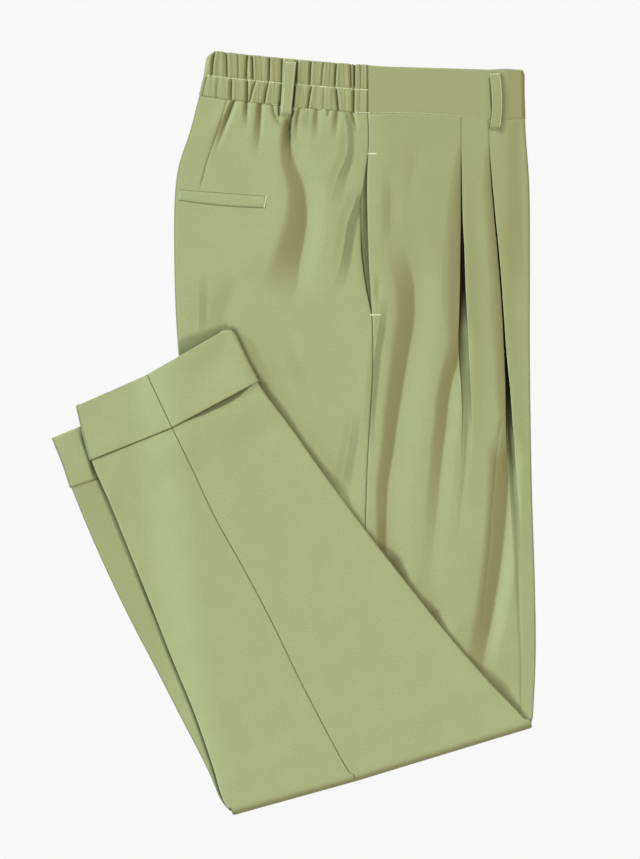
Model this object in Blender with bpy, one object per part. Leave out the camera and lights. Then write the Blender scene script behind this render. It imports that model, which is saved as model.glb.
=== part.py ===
"""Pleated trousers with turn-ups, folded in half along the centre front and back, then up at the knee.

The frame is in metres with +Z up. The garment lies on Z = 0 with its waist towards +Y and its front
edge towards +X, and the origin is under the middle of its outline. The sizes below are in
millimetres. The wearer's right half lies on top of the left half; below the knee both legs are
folded back over it, so the outer side of the left leg ends up on top.
"""

import bpy
import numpy as np

MM = 0.001
UP = np.array((0.0, 0.0, 1.0))
OUTLINE_MIDDLE = np.array((0.45, 0.6, 0.0))  # of the tables below, which the origin moves to

# Cloth and spacing
CLOTH = 1.2  # one layer of cloth
BAND_CLOTH = 2.0  # the waistband is sewn double
SEAM_GAP = 0.3
LAYER_GAP = 0.5  # between layers that curve over each other
TURN_UP_HEIGHT = 54.0

# Heights above the floor
UPPER_REST = 7.4  # top of the trousers from waist to knee, away from the folds
UPPER_CORE_TOP = 3.2
LEG_REST = 7.9  # underside of the folded leg where it lies on the upper part
RIGHT_LEG_STACK = 3.2  # the right leg's layers, folded up
RIGHT_CUFF_RISE = 1.5  # and how much its turn-up adds
LEFT_LEG_STACK = 3.5  # the left leg's layers, on top of them
RIM_LIFT = 1.2  # the folded leg's edge stands off the upper part by this much more
RIM_FADE = 15.0
DROP_WIDTH = 50.0  # the folded leg comes down to the floor over this width, beside the back edge

# Rounded fold edges
KNEE_SAMPLE = 8.0  # how far above the knee fold the leg's height sets the fold's radius
EDGE_RADIUS = 3.4
LIP_TOP = 4.1  # where the upper edge's fold ends
LIP_DROP_UNDER = 3.3  # how far the underside's cloth turns up
LEG_LIP_DROP = 3.0
LIP_ANGLES = np.radians((0.0, 32.0, 62.0, 90.0))
BEND_ANGLES = np.radians((-90.0, -60.0, -30.0, 0.0, 30.0, 60.0, 90.0))

# Sections of the upper part, from the waist seam down to the knee fold. Each runs from the back
# edge (left) to the front edge (right) and sags by bow at its middle. The last columns say where
# it crosses the dart, the side seam and the two pleats.
UPPER_COLUMNS = ("left_x", "left_y", "right_x", "right_y", "bow", "dart_x", "side_x", "pleat_a", "pleat_b")
UPPER_SECTIONS = (
    (-84.5, 302.3, 209.0, 283.5, -4.2, -59.0, 67.2, 151.0, 176.0),  # waist seam
    (-92.5, 273.5, 210.0, 264.5, -3.0, -67.0, 67.5, 151.0, 176.5),  # end of the pleats' stitching
    (-105.2, 228.5, 213.0, 219.5, -2.0, -82.0, 66.4, 152.0, 181.0),  # hip
    (-107.0, 156.5, 213.4, 152.0, 0.0, -85.0, 68.2, 153.0, 185.5),  # seat
    (-103.5, 75.5, 213.4, 66.5, 0.0, -83.0, 72.0, 154.0, 192.5),  # thigh
    (-92.5, -32.5, 215.0, -41.5, 0.0, -73.0, 66.5, 153.0, 196.0),
    (-79.0, -149.5, 218.0, -140.0, 0.0, -58.0, 64.0, 147.0, 200.0),
    (-64.0, -257.5, 218.5, -205.0, 0.0, -43.0, 61.0, 142.0, 201.0),  # above the knee
    (-54.0, -343.5, 215.5, -264.5, -1.8, -31.0, 56.5, 138.0, 199.0),  # knee fold
)

# Sections of the folded leg, from the knee fold up to the hem.
LEG_COLUMNS = ("left_x", "left_y", "right_x", "right_y", "bow", "seam_x")
LEG_SECTIONS = (
    (-54.0, -343.5, 215.5, -264.5, -1.8, 56.5),  # knee fold
    (-63.5, -327.5, 199.5, -246.5, -0.5, 45.0),
    (-72.5, -298.0, 174.5, -220.5, 0.0, 29.5),
    (-89.5, -249.5, 135.5, -175.5, 0.0, 5.0),
    (-109.5, -201.5, 98.5, -129.0, 0.0, -18.5),
    (-128.5, -153.0, 62.0, -82.0, 0.0, -44.0),
    (-148.0, -104.5, 26.5, -34.0, -2.0, -70.0),
    (-165.0, -62.5, -3.0, 7.5, -3.5, -89.5),
    (-181.5, -23.5, -31.5, 46.5, -5.0, -108.5),  # free edge of the turn-up
    (-194.0, 25.5, -56.0, 96.0, -4.5, -131.0),  # hem
)
FREE_EDGE = 8.0
HEM = 9.0

# Sections of the right leg's strip that shows beside the left leg, and of its turn-up.
STRIP_COLUMNS = ("left_x", "left_y", "right_x", "right_y")
STRIP_SECTIONS = (
    (-65.5, -328.5, -50.0, -323.0),
    (-77.5, -301.0, -61.0, -291.0),
    (-100.5, -257.0, -77.5, -245.0),
    (-123.0, -213.5, -97.5, -199.0),
    (-146.0, -169.5, -115.5, -153.0),
    (-167.5, -125.0, -133.5, -107.5),
    (-185.0, -85.5, -147.5, -70.0),
    (-199.6, -49.6, -160.5, -37.0),
)
RIGHT_CUFF_SECTIONS = (
    (-201.3, -49.0, -160.0, -35.6),
    (-208.5, -27.0, -166.0, -11.0),
    (-217.8, -4.0, -174.0, 14.0),
)

# Sections of the waistband, from its seam up.
BAND_COLUMNS = ("left_x", "left_y", "right_x", "right_y", "bow")
BAND_SECTIONS = (
    (-84.5, 302.8, 209.0, 284.0, -4.2),
    (-82.8, 313.5, 208.8, 294.5, -3.6),
    (-80.6, 324.0, 208.4, 304.5, -3.1),  # the stitch between the two elastic channels
    (-79.0, 334.5, 208.0, 315.6, -3.6),
    (-77.0, 340.0, 207.8, 322.6, -4.0),
    (-72.0, 343.8, 206.5, 326.6, -4.4),
)
CHANNEL_STITCH = 2.0

# Soft troughs of the cloth from waist to knee: start, middle and end of each, its half width, its
# depth, and the parts of its length over which it fades in and out.
FOLD_COLUMNS = ("x0", "y0", "x1", "y1", "x2", "y2", "width", "depth", "fade_in", "fade_out")
UPPER_FOLDS = (
    (-59.0, 300.5, -69.5, 268.0, -84.0, 220.0, 2.6, 0.8, 0.02, 0.35),  # dart
    (-54.0, 297.0, -60.0, 275.0, -71.0, 252.0, 4.0, 1.1, 0.02, 0.6),  # gathers under the elastic
    (-42.5, 294.0, -42.5, 285.0, -43.0, 272.0, 3.0, 0.8, 0.02, 0.8),
    (-29.7, 293.0, -29.5, 278.0, -29.0, 258.0, 3.5, 1.0, 0.02, 0.7),
    (-12.5, 291.0, -12.5, 280.0, -12.0, 266.0, 3.0, 0.7, 0.02, 0.8),
    (17.0, 290.0, 18.0, 280.0, 19.0, 268.0, 3.5, 0.6, 0.02, 0.8),
    (40.0, 289.0, 40.0, 281.0, 40.0, 270.0, 3.0, 0.8, 0.02, 0.8),
    (47.5, 289.0, 50.5, 250.0, 43.0, 222.0, 4.0, 1.1, 0.02, 0.5),
    (55.5, 289.0, 55.5, 281.0, 55.0, 272.0, 3.0, 0.7, 0.02, 0.8),
    (-5.0, 287.0, -3.0, 215.0, -8.0, 145.0, 9.0, 1.9, 0.05, 0.6),  # under the back belt loop
    (57.5, 210.0, 46.0, 166.0, 36.0, 132.0, 8.0, 1.4, 0.3, 0.5),  # drag from the pocket's mouth
    (56.0, 3.0, 52.0, -22.0, 47.0, -48.0, 7.0, 1.1, 0.5, 0.5),
    (-79.0, 172.0, -79.0, 130.0, -78.0, 85.0, 9.0, 0.6, 0.5, 0.5),
    (86.5, 262.0, 99.0, 117.0, 80.0, -95.0, 9.5, 1.7, 0.25, 0.35),  # front, beside the pocket
    (78.0, 95.0, 72.0, 62.0, 70.0, 20.0, 5.0, 0.9, 0.4, 0.5),
    (144.0, 112.0, 131.0, 17.0, 118.0, -135.0, 9.0, 1.9, 0.25, 0.4),
    (151.0, 95.0, 157.0, 26.0, 150.0, -75.0, 6.0, 1.5, 0.3, 0.5),  # where pleat A runs out
    (189.0, 12.0, 175.5, -77.0, 168.0, -205.0, 7.5, 1.6, 0.2, 0.5),  # where pleat B runs out
    (200.0, -50.0, 204.0, -130.0, 203.0, -235.0, 6.0, 1.0, 0.4, 0.4),
)

# The two pleats: how deep each lies at a distance down it, how wide it gapes, how wide the cloth
# rolls into it from the side seam's side, and how far its fold edge stands up.
PLEAT_COLUMNS = ("y", "depth", "gape", "roll", "lip")
PLEAT_A = (
    (290.0, 0.5, 0.4, 3.0, 0.1),
    (254.0, 0.9, 0.5, 4.0, 0.3),
    (209.0, 2.1, 1.4, 8.0, 0.8),
    (152.0, 2.5, 3.0, 11.0, 1.0),
    (100.0, 2.5, 4.5, 12.0, 1.0),
    (62.0, 1.6, 5.5, 9.0, 0.6),
    (20.0, 0.6, 5.0, 8.0, 0.3),
    (-60.0, 0.0, 4.0, 8.0, 0.0),
)
PLEAT_B = (
    (290.0, 0.5, 0.4, 3.0, 0.1),
    (254.0, 0.9, 0.5, 4.0, 0.3),
    (209.0, 2.0, 1.0, 7.0, 0.7),
    (152.0, 2.4, 1.6, 8.0, 0.9),
    (100.0, 2.5, 2.5, 9.0, 1.0),
    (50.0, 2.5, 4.0, 9.0, 1.0),
    (15.0, 2.5, 6.5, 9.0, 1.0),
    (-12.0, 1.8, 5.0, 8.0, 0.8),
    (-42.0, 0.5, 2.5, 7.0, 0.4),
    (-80.0, 0.0, 2.0, 7.0, 0.0),
)
PLEAT_LIP_WIDTH = 9.0
PLEAT_RISE = 1.2  # width over which the fold edge stands up

# How far the back's edge stands off the side seam along the pocket's mouth.
POCKET_MOUTH = (  # (y, offset)
    (104.0, 0.0),
    (110.0, -0.8),
    (135.0, -3.4),
    (162.0, -5.6),
    (208.0, -5.8),
    (227.0, -2.0),
    (252.0, 0.0),
)

# Gathers of the elastic waistband, as places along it, and their depth.
BAND_GATHERS = (-70.0, -58.0, -47.5, -38.5, -29.0, -20.5, -11.0, 3.5, 16.0, 28.0, 39.5, 53.0, 66.5)
GATHER_DEPTH = 1.3
GATHER_PUFF = 0.5
GATHER_WIDTH = 2.2
PINCH = 0.55  # share of the gathers' depth that the stitch between the channels takes away
PINCH_WIDTH = 0.45  # in rows of the band's table
BAND_FADE = 0.9  # rows over which the gathers grow from the waist seam
BAND_SEAM_SHARE = 0.4  # of their depth that they have at the seam
FRONT_BAND_PLACES = (200.0, 178.0, 150.0, 122.0, 94.0)
BACK_BAND_EDGE = -75.0

# Belt loops, from the band's top edge to below its seam.
BACK_LOOP = {"top": (-2.0, 337.5), "bottom": (-5.5, 285.5), "width": 9.6, "bow": 1.2}
FRONT_LOOP = {"top": (182.3, 325.5), "bottom": (182.3, 272.5), "width": 10.2, "bow": 2.6}
LOOP_EDGE_DROP = 0.35

# The back pocket's welt: ends of its upper and lower edge, and how far the lower one sags.
WELT_UPPER = ((-103.0, 219.9), (-24.5, 214.0))
WELT_LOWER = ((-103.0, 210.0), (-24.5, 203.0))
WELT_SAG = 1.5
WELT_CROWN = 0.25

# The side pocket's facing, under the gap of its mouth.
FACING_TOP = 258.0
FACING_BOTTOM = 100.0
FACING_OFFSETS = (-13.0, -7.0, -1.0, 5.0, 10.0)  # from the side seam
FACING_CLOTH = 1.0

# The leg's outline over the upper part, from the knee fold round the turn-up to the floor.
LEG_RIM = np.array((
    (225.0, -275.0), (215.5, -264.5), (199.5, -245.5), (174.5, -220.0), (135.5, -175.5),
    (98.5, -129.0), (62.0, -82.0), (26.5, -34.0), (-3.0, 7.5), (-30.0, 46.5), (-41.5, 67.5),
    (-52.5, 92.0), (-61.0, 96.0), (-101.5, 70.5), (-131.0, 54.0), (-194.0, 25.0),
))
LEG_AXIS = np.array((-0.454, 0.891))  # from the knee towards the hem
RIGHT_CUFF_START = 6.0  # along that axis, where the right turn-up begins to lift the left leg
RIGHT_CUFF_FULL = 42.0

GREEN = (0.37, 0.42, 0.22, 1.0)
GREEN_DARK = (0.28, 0.33, 0.17, 1.0)
ROUGHNESS = 0.85


# ---------------------------------------------------------------------------------------------
# Tables and curves
# ---------------------------------------------------------------------------------------------


def sections(columns, rows, stations):
    """The table's columns at fractional row numbers, on smooth curves through the rows."""
    table = np.array(rows, float)
    stations = np.asarray(stations, float)
    low = np.clip(np.floor(stations).astype(int), 0, len(table) - 2)
    part = (stations - low)[:, None]
    before = table[np.maximum(low - 1, 0)]
    first, second = table[low], table[low + 1]
    after = table[np.minimum(low + 2, len(table) - 1)]
    slope_in, slope_out = (second - before) / 2.0, (after - first) / 2.0
    value = (
        (2 * part**3 - 3 * part**2 + 1) * first
        + (part**3 - 2 * part**2 + part) * slope_in
        + (3 * part**2 - 2 * part**3) * second
        + (part**3 - part**2) * slope_out
    )
    return dict(zip(columns, value.T))


def section_y(row, x):
    """The height on the page of a section line at x, one row of x for each section."""
    across = (x - row["left_x"][:, None]) / (row["right_x"] - row["left_x"])[:, None]
    line = row["left_y"][:, None] + across * (row["right_y"] - row["left_y"])[:, None]
    return line + row["bow"][:, None] * 4.0 * across * (1.0 - across)


def smoothstep(value):
    part = np.clip(value, 0.0, 1.0)
    return part * part * (3.0 - 2.0 * part)


def beside(x, y, line):
    """Signed distance of each point from a line of points, and how far along it the nearest place is."""
    point = np.stack((x, y), axis=-1)[..., None, :]
    start, step = line[:-1], np.diff(line, axis=0)
    length = np.hypot(step[:, 0], step[:, 1])
    along = np.clip(((point - start) * step).sum(-1) / length**2, 0.0, 1.0)
    away = point - (start + along[..., None] * step)
    distance = np.hypot(away[..., 0], away[..., 1])
    nearest = distance.argmin(-1)[..., None]
    turn = step[:, 0] * away[..., 1] - step[:, 1] * away[..., 0]
    side = np.where(np.take_along_axis(turn, nearest, -1)[..., 0] < 0.0, -1.0, 1.0)
    reached = np.concatenate(((0.0,), np.cumsum(length)[:-1])) + along * length
    return (
        side * np.take_along_axis(distance, nearest, -1)[..., 0],
        np.take_along_axis(reached, nearest, -1)[..., 0] / length.sum(),
    )


def arc_through(x0, y0, x1, y1, x2, y2):
    """Points on the parabola through three places."""
    part = np.linspace(0.0, 1.0, 13)[:, None]
    start, middle, end = np.array((x0, y0)), np.array((x1, y1)), np.array((x2, y2))
    pull = 2.0 * middle - (start + end) / 2.0
    return (1 - part) ** 2 * start + 2 * part * (1 - part) * pull + part**2 * end


# ---------------------------------------------------------------------------------------------
# Heights of the cloth above the floor
# ---------------------------------------------------------------------------------------------


def uncovered(x, y):
    """1 where the upper part lies free, falling to 0 under the folded leg."""
    inside, _ = beside(x, y, LEG_RIM)
    return np.exp(-((np.maximum(inside, 0.0) / RIM_FADE) ** 2))


def troughs(x, y, folds):
    """Depth of all the soft folds: a bell across each, faded in and out along it."""
    depth = np.zeros_like(x)
    for row in folds:
        fold = dict(zip(FOLD_COLUMNS, row))
        line = arc_through(*row[:6])
        away, along = beside(x, y, line)
        ends = smoothstep(along / fold["fade_in"]) * smoothstep((1.0 - along) / fold["fade_out"])
        depth += fold["depth"] * ends * np.exp(-((away / fold["width"]) ** 2))
    return depth


def pleat_line(name):
    """The pleat's place across as a function of the height on the page, lowest first."""
    row = sections(UPPER_COLUMNS, UPPER_SECTIONS, np.linspace(0.0, 8.0, 41))
    x = row[name][:, None]
    order = np.argsort(section_y(row, x)[:, 0])
    return section_y(row, x)[order, 0], x[order, 0]


def pleat_shape(rows, y):
    table = np.array(rows)[::-1]
    return {name: np.interp(y, table[:, 0], table[:, i]) for i, name in enumerate(PLEAT_COLUMNS) if i}


def pleat(x, y, name, rows):
    """Height that a pleat adds: the cloth rolls down to it, lies low across its gape, and its fold
    edge rises steeply beyond."""
    shape = pleat_shape(rows, y)
    line_y, line_x = pleat_line(name)
    away = x - np.interp(y, line_y, line_x)
    beyond = away - shape["gape"]
    rolling = -shape["depth"] * np.exp(-((np.minimum(away, 0.0) / shape["roll"]) ** 2))
    rising = smoothstep(beyond / PLEAT_RISE) * (shape["depth"] + shape["lip"])
    settling = shape["lip"] * (1.0 - np.exp(-((np.maximum(beyond, 0.0) / PLEAT_LIP_WIDTH) ** 2)))
    return rolling + rising - settling


def upper_height(x, y):
    """Top of the cloth from waist to knee."""
    shape = pleat(x, y, "pleat_a", PLEAT_A) + pleat(x, y, "pleat_b", PLEAT_B)
    return UPPER_REST + (shape - troughs(x, y, UPPER_FOLDS)) * uncovered(x, y)


def back_edge_x(y):
    row = sections(UPPER_COLUMNS, UPPER_SECTIONS, np.linspace(0.0, 8.0, 41))
    return np.interp(y, row["left_y"][::-1], row["left_x"][::-1])


def leg_under(x, y):
    """Underside of the folded leg: on the upper part, and down to the floor beside its back edge."""
    outside = (back_edge_x(y) - x) / DROP_WIDTH
    lifted = LEG_REST + RIM_LIFT * uncovered(x, y)
    return lifted * (1.0 - smoothstep(outside))


def right_leg_top(x, y):
    """Top of the right leg's layers, which the left leg lies on."""
    along = LEG_AXIS[0] * x + LEG_AXIS[1] * y
    rise = smoothstep((along - RIGHT_CUFF_START) / (RIGHT_CUFF_FULL - RIGHT_CUFF_START))
    return leg_under(x, y) + RIGHT_LEG_STACK + RIGHT_CUFF_RISE * rise


def leg_top(x, y):
    """Top of the folded leg."""
    return right_leg_top(x, y) + LEFT_LEG_STACK


# ---------------------------------------------------------------------------------------------
# Solids
# ---------------------------------------------------------------------------------------------


def make_object(name, points, faces, colour):
    """A closed mesh with its faces turned outwards, in metres, with its own material."""
    points = np.asarray(points, float)
    volume = 0.0
    for face in faces:
        corner = points[list(face)]
        for i in range(1, len(face) - 1):
            volume += np.dot(corner[0], np.cross(corner[i], corner[i + 1]))
    if volume < 0.0:
        faces = [tuple(reversed(face)) for face in faces]
    mesh = bpy.data.meshes.new(name)
    mesh.from_pydata([tuple(point) for point in (points - OUTLINE_MIDDLE) * MM], [], faces)
    mesh.validate()
    material = bpy.data.materials.new(name)
    material.use_nodes = True
    shader = material.node_tree.nodes["Principled BSDF"]
    shader.inputs["Base Color"].default_value = colour
    shader.inputs["Roughness"].default_value = ROUGHNESS
    mesh.materials.append(material)
    mesh.shade_smooth()
    mesh.set_sharp_from_angle(angle=np.radians(40.0))
    bpy.context.scene.collection.objects.link(bpy.data.objects.new(name, mesh))


def normals(grid):
    """Unit normals of a grid of points: the cross product of its two mean directions."""
    across = np.gradient(grid, axis=1)
    along = np.gradient(grid, axis=0)
    normal = np.cross(across, along)
    return normal / np.linalg.norm(normal, axis=-1, keepdims=True)


def outward_normals(grid, sample, upwards):
    """Normals of the grid, turned so that the one at the sample place points up, or down."""
    normal = normals(grid)
    return normal if (normal[sample][2] > 0.0) == upwards else -normal


def wall(name, outer, outward, thickness=CLOTH, colour=GREEN):
    """A sheet of cloth: the outer grid, and a copy moved inwards by its thickness."""
    make_wall(name, outer, outer - outward * thickness, colour)


def make_wall(name, outer, inner, colour=GREEN):
    """A closed solid between two grids of points, joined round their rim."""
    rows, cols = outer.shape[:2]
    points = np.concatenate((outer.reshape(-1, 3), inner.reshape(-1, 3)))
    under = rows * cols
    faces = []
    for i in range(rows - 1):
        for j in range(cols - 1):
            a = i * cols + j
            b, c, d = a + 1, a + cols + 1, a + cols
            faces.append((a, b, c, d))
            faces.append((under + d, under + c, under + b, under + a))
    rim = list(range(cols))
    rim += [i * cols + cols - 1 for i in range(1, rows)]
    rim += [(rows - 1) * cols + j for j in range(cols - 2, -1, -1)]
    rim += [i * cols for i in range(rows - 2, 0, -1)]
    for a, b in zip(rim, rim[1:] + rim[:1]):
        faces.append((b, a, under + a, under + b))
    make_object(name, points, faces, colour)


def skin(name, rings, colour=GREEN):
    """A solid through closed rings, with a face at each end."""
    rings = np.asarray(rings, float)
    count, size = rings.shape[:2]
    faces = [
        (i * size + j, i * size + (j + 1) % size, (i + 1) * size + (j + 1) % size, (i + 1) * size + j)
        for i in range(count - 1)
        for j in range(size)
    ]
    faces.append(tuple(range(size))[::-1])
    faces.append(tuple((count - 1) * size + j for j in range(size)))
    make_object(name, rings.reshape(-1, 3), faces, colour)


def between(start, end, parts):
    return [start + (end - start) * part for part in parts]


# ---------------------------------------------------------------------------------------------
# Upper part: the right half, on top
# ---------------------------------------------------------------------------------------------

UPPER_STATIONS = np.concatenate((
    (0.0, 0.18, 0.4, 0.7), np.arange(1.0, 7.01, 0.33), (7.35, 7.7),
))
PANEL_END = 8.6  # the right panels stop this far inside the knee fold


def knee_row(row_x):
    """x and y of the right panels' last section, just inside the knee fold."""
    fold = sections(UPPER_COLUMNS, UPPER_SECTIONS, (8.0,))
    inwards = fold_inwards()
    y = section_y(fold, row_x[None, :])[0]
    return row_x + inwards[0] * PANEL_END, y + inwards[1] * PANEL_END


def fold_inwards():
    """Unit direction on the page from the knee fold towards the waist."""
    left, right = np.array(UPPER_SECTIONS[-1][0:2]), np.array(UPPER_SECTIONS[-1][2:4])
    along = (right - left) / np.linalg.norm(right - left)
    return np.array((-along[1], along[0]))


def upper_panel(name, place_columns):
    """A panel on top: its columns at each section, their heights, and the rounded outer edge."""
    stations = np.append(UPPER_STATIONS, 8.0)
    row = sections(UPPER_COLUMNS, UPPER_SECTIONS, stations)
    row_y = section_y(row, row["side_x"][:, None])[:, 0]
    places, turned = place_columns(row, row_y)
    x = np.stack(places, axis=1)
    y = section_y(row, x)
    x[-1], y[-1] = knee_row(x[-1])
    turned = np.array(turned)
    height = upper_height(x, y)
    flat = np.nonzero(turned == 0.0)[0]
    shoulder = height[:, flat[0] if turned[0] > 0.0 else flat[-1]][:, None]
    z = np.where(turned > 0.0, LIP_TOP + (shoulder - LIP_TOP) * np.cos(turned), height)
    outer = np.stack((x, y, z), axis=-1)
    wall(name, outer, outward_normals(outer, (5, 8), True))


def back_columns(row, row_y):
    """Columns of the right back: rounded back edge, both sides of the dart, then on to the seam."""
    left = row["left_x"]
    lip = [left + EDGE_RADIUS * (1.0 - np.sin(angle)) for angle in LIP_ANGLES[::-1]]
    dart = row["dart_x"]
    mouth = np.array(POCKET_MOUTH)
    seam = row["side_x"] - SEAM_GAP / 2 + np.interp(row_y, mouth[:, 0], mouth[:, 1])
    rest = (0.07, 0.13, 0.185, 0.23, 0.3, 0.365, 0.4, 0.435, 0.48, 0.54, 0.6, 0.66, 0.72)
    last = (0.78, 0.815, 0.85, 0.88, 0.91, 0.94, 0.97, 1.0)
    places = lip + between(lip[-1], dart, (0.5, 0.85)) + [dart] + between(dart, seam, (0.025,) + rest + last)
    turned = list(LIP_ANGLES[::-1]) + [0.0] * (len(places) - len(lip))
    return places, turned


def front_columns(row, row_y):
    """Columns of the right front: from the side seam across both pleats to the rounded edge."""
    seam = row["side_x"] + SEAM_GAP / 2
    a, b = row["pleat_a"], row["pleat_b"]
    gape_a = pleat_shape(PLEAT_A, row_y)["gape"]
    gape_b = pleat_shape(PLEAT_B, row_y)["gape"]
    lip = [row["right_x"] - EDGE_RADIUS * (1.0 - np.sin(angle)) for angle in LIP_ANGLES]
    places = [seam] + between(seam, a - 12.0, (0.14, 0.28, 0.4, 0.52, 0.64, 0.76, 0.88, 1.0))
    past_a, past_b = a + gape_a + PLEAT_RISE, b + gape_b + PLEAT_RISE
    places += [a - 7.5, a - 3.5, a, a + gape_a, past_a]
    places += between(past_a, b - 3.0, (0.3, 0.6, 0.82, 1.0))
    places += [b, b + gape_b, past_b]
    places += between(past_b, lip[0], (0.3, 0.65)) + lip
    turned = [0.0] * (len(places) - len(lip)) + list(LIP_ANGLES)
    return places, turned


def make_facing():
    """The strip seen in the gap of the side pocket, under both panels."""
    y = np.linspace(FACING_TOP, FACING_BOTTOM, 12)
    row = sections(UPPER_COLUMNS, UPPER_SECTIONS, np.linspace(0.0, 8.0, 41))
    seam_y = section_y(row, row["side_x"][:, None])[:, 0]
    seam = np.interp(y, seam_y[::-1], row["side_x"][::-1])
    x = seam[:, None] + np.array(FACING_OFFSETS)
    y = np.repeat(y[:, None], len(FACING_OFFSETS), axis=1)
    z = upper_height(x, y) - CLOTH - LAYER_GAP
    wall("side_pocket_facing", np.stack((x, y, z), axis=-1), UP, FACING_CLOTH, GREEN_DARK)


def make_welt():
    """The back pocket's welt, moved out from the panel that it is sewn to."""
    upper, lower = np.array(WELT_UPPER), np.array(WELT_LOWER)
    across = np.linspace(0.0, 1.0, 14)[:, None]
    down = np.linspace(0.0, 1.0, 4)
    x = upper[0, 0] + across * (upper[1, 0] - upper[0, 0]) + 0.0 * down
    top = upper[0, 1] + across * (upper[1, 1] - upper[0, 1])
    sag = WELT_SAG * 4.0 * across * (1.0 - across)
    bottom = lower[0, 1] + across * (lower[1, 1] - lower[0, 1]) - sag
    y = top + (bottom - top) * down
    crown = WELT_CROWN * np.array((0.0, 1.0, 1.0, 0.0))
    z = upper_height(x, y) + LAYER_GAP + CLOTH + crown
    wall("back_welt", np.stack((x, y, z), axis=-1), UP)


# ---------------------------------------------------------------------------------------------
# Waistband and belt loops
# ---------------------------------------------------------------------------------------------


def band_wave(x, station):
    """Puffs between the elastic's gathers, pinched along the stitch between the channels."""
    creases = np.array(BAND_GATHERS)
    nearest = np.abs(x[..., None] - creases).min(-1)
    wave = GATHER_PUFF - (GATHER_DEPTH + GATHER_PUFF) * np.exp(-((nearest / GATHER_WIDTH) ** 2))
    pinch = 1.0 - PINCH * np.exp(-(((station - CHANNEL_STITCH) / PINCH_WIDTH) ** 2))
    ends = BAND_SEAM_SHARE + (1.0 - BAND_SEAM_SHARE) * smoothstep(station / BAND_FADE)
    return wave * pinch * ends


def band_piece(name, join, edge_name, columns, side, gathered):
    """A stretch of waistband: along the underside, round the fold edge, and back on top."""
    stations = np.array((0.0, 0.5, 1.0, 2.0, 3.0, 4.0, 5.0)) if not gathered else np.array(
        (0.0, 0.45, 1.0, 1.6, 2.0, 2.4, 3.2, 4.2, 5.0))
    row = sections(BAND_COLUMNS, BAND_SECTIONS, stations)
    radius = UPPER_REST / 2.0
    edge = row[edge_name]
    turn = np.radians((-90.0, -60.0, -30.0, 0.0, 30.0, 60.0, 90.0))
    places, heights = [], []
    start = np.full_like(edge, join)
    centre = edge - side * radius
    for part in (0.0, 0.33, 0.66):
        places.append(start + (centre - start) * part)
        heights.append(np.zeros_like(edge))
    for angle in turn:
        places.append(centre + side * radius * np.cos(angle))
        heights.append(np.full_like(edge, radius + radius * np.sin(angle)))
    reach = (centre - side * 2.0 - join) / (columns[0] - join)
    for place in columns:
        marked = np.full_like(edge, place)
        places.append(join + (marked - join) * reach)
        heights.append(UPPER_REST + (band_wave(marked, stations) if gathered else 0.0 * marked))
    x, z = np.stack(places, axis=1), np.stack(heights, axis=1)
    y = section_y(row, x)
    under = 3 + len(turn) // 2
    along = (x[:, :under] - x[:, :1]) / (x[:, under - 1:under] - x[:, :1])
    y[:, :under] = y[:, :1] + (y[:, under - 1:under] - y[:, :1]) * along
    outer = np.stack((x, y, z), axis=-1)
    outward = outward_normals(outer, (0, 0), False)
    outward[..., 1] = 0.0
    outward /= np.linalg.norm(outward, axis=-1, keepdims=True)
    wall(name, outer, outward, BAND_CLOTH)


def gather_columns(first, last):
    """Places along the band: each gather's crease and two on the puff beside it."""
    creases = [place for place in BAND_GATHERS if first < place < last]
    marks = [first] + creases + [last]
    places = []
    for a, b in zip(marks, marks[1:]):
        places += [a, a + (b - a) * 0.3, a + (b - a) * 0.7]
    return places + [last]


def make_loop(name, top, bottom, width, bow):
    """A belt loop: a folded strip that arches from the band's top edge to below its seam."""
    part = np.linspace(0.0, 1.0, 9)
    top, bottom = np.array(top), np.array(bottom)
    middle = top + (bottom - top) * part[:, None]
    side = np.array((-0.5, -0.2, 0.2, 0.5)) * width
    x = middle[:, :1] + side
    y = np.repeat(middle[:, 1:], 4, axis=1)
    rest = UPPER_REST + GATHER_PUFF + LAYER_GAP + CLOTH
    arch = bow * np.sin(np.pi * part) ** 0.8
    z = rest + arch[:, None] - LOOP_EDGE_DROP * np.array((1.0, 0.0, 0.0, 1.0))
    wall(name, np.stack((x, y, z), axis=-1), UP)


# ---------------------------------------------------------------------------------------------
# Left half: underside, knee fold, and the top of the folded leg
# ---------------------------------------------------------------------------------------------

UNDER_STATIONS = np.array((0.0, 1.0, 2.0, 3.0, 4.0, 5.0, 6.0, 7.0, 7.55))
LEG_STATIONS = np.array(
    (1.0, 1.6, 2.3, 3.0, 3.6, 4.2, 4.8, 5.4, 6.0, 6.5, 7.0, 7.4, 7.8, 8.15, 8.5, 8.9))
BACK_PARTS = (0.0, 0.12, 0.24, 0.36, 0.48, 0.6, 0.72, 0.82, 0.91)  # of the way to the lip
FRONT_PARTS = (0.0, 0.12, 0.25, 0.38, 0.51, 0.64, 0.76, 0.87)


def panel_lines(row, seam, edge, outset=0.0):
    """Seam point and edge point of each section, with the seam's gap and the edge's outset."""
    seam_x = row[seam]
    seam_y = section_y(row, seam_x[:, None])[:, 0]
    start = np.stack((seam_x, seam_y), axis=1)
    end = np.stack((row[edge + "_x"], row[edge + "_y"]), axis=1)
    run = end - start
    run /= np.linalg.norm(run, axis=1, keepdims=True)
    return start + run * SEAM_GAP / 2, end + run * outset


def panel_plan(start, end, parts, radius):
    """Plan of a panel's columns from its seam to its rounded edge, and each column's lip angle."""
    run = end - start
    length = np.linalg.norm(run, axis=1, keepdims=True)
    run = run / length
    flat = [start + run * (length - radius) * part for part in parts]
    lip = [start + run * (length - radius + radius * np.sin(angle)) for angle in LIP_ANGLES]
    angles = np.array([0.0] * len(flat) + list(LIP_ANGLES))
    return np.stack(flat + lip, axis=1), angles


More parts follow.
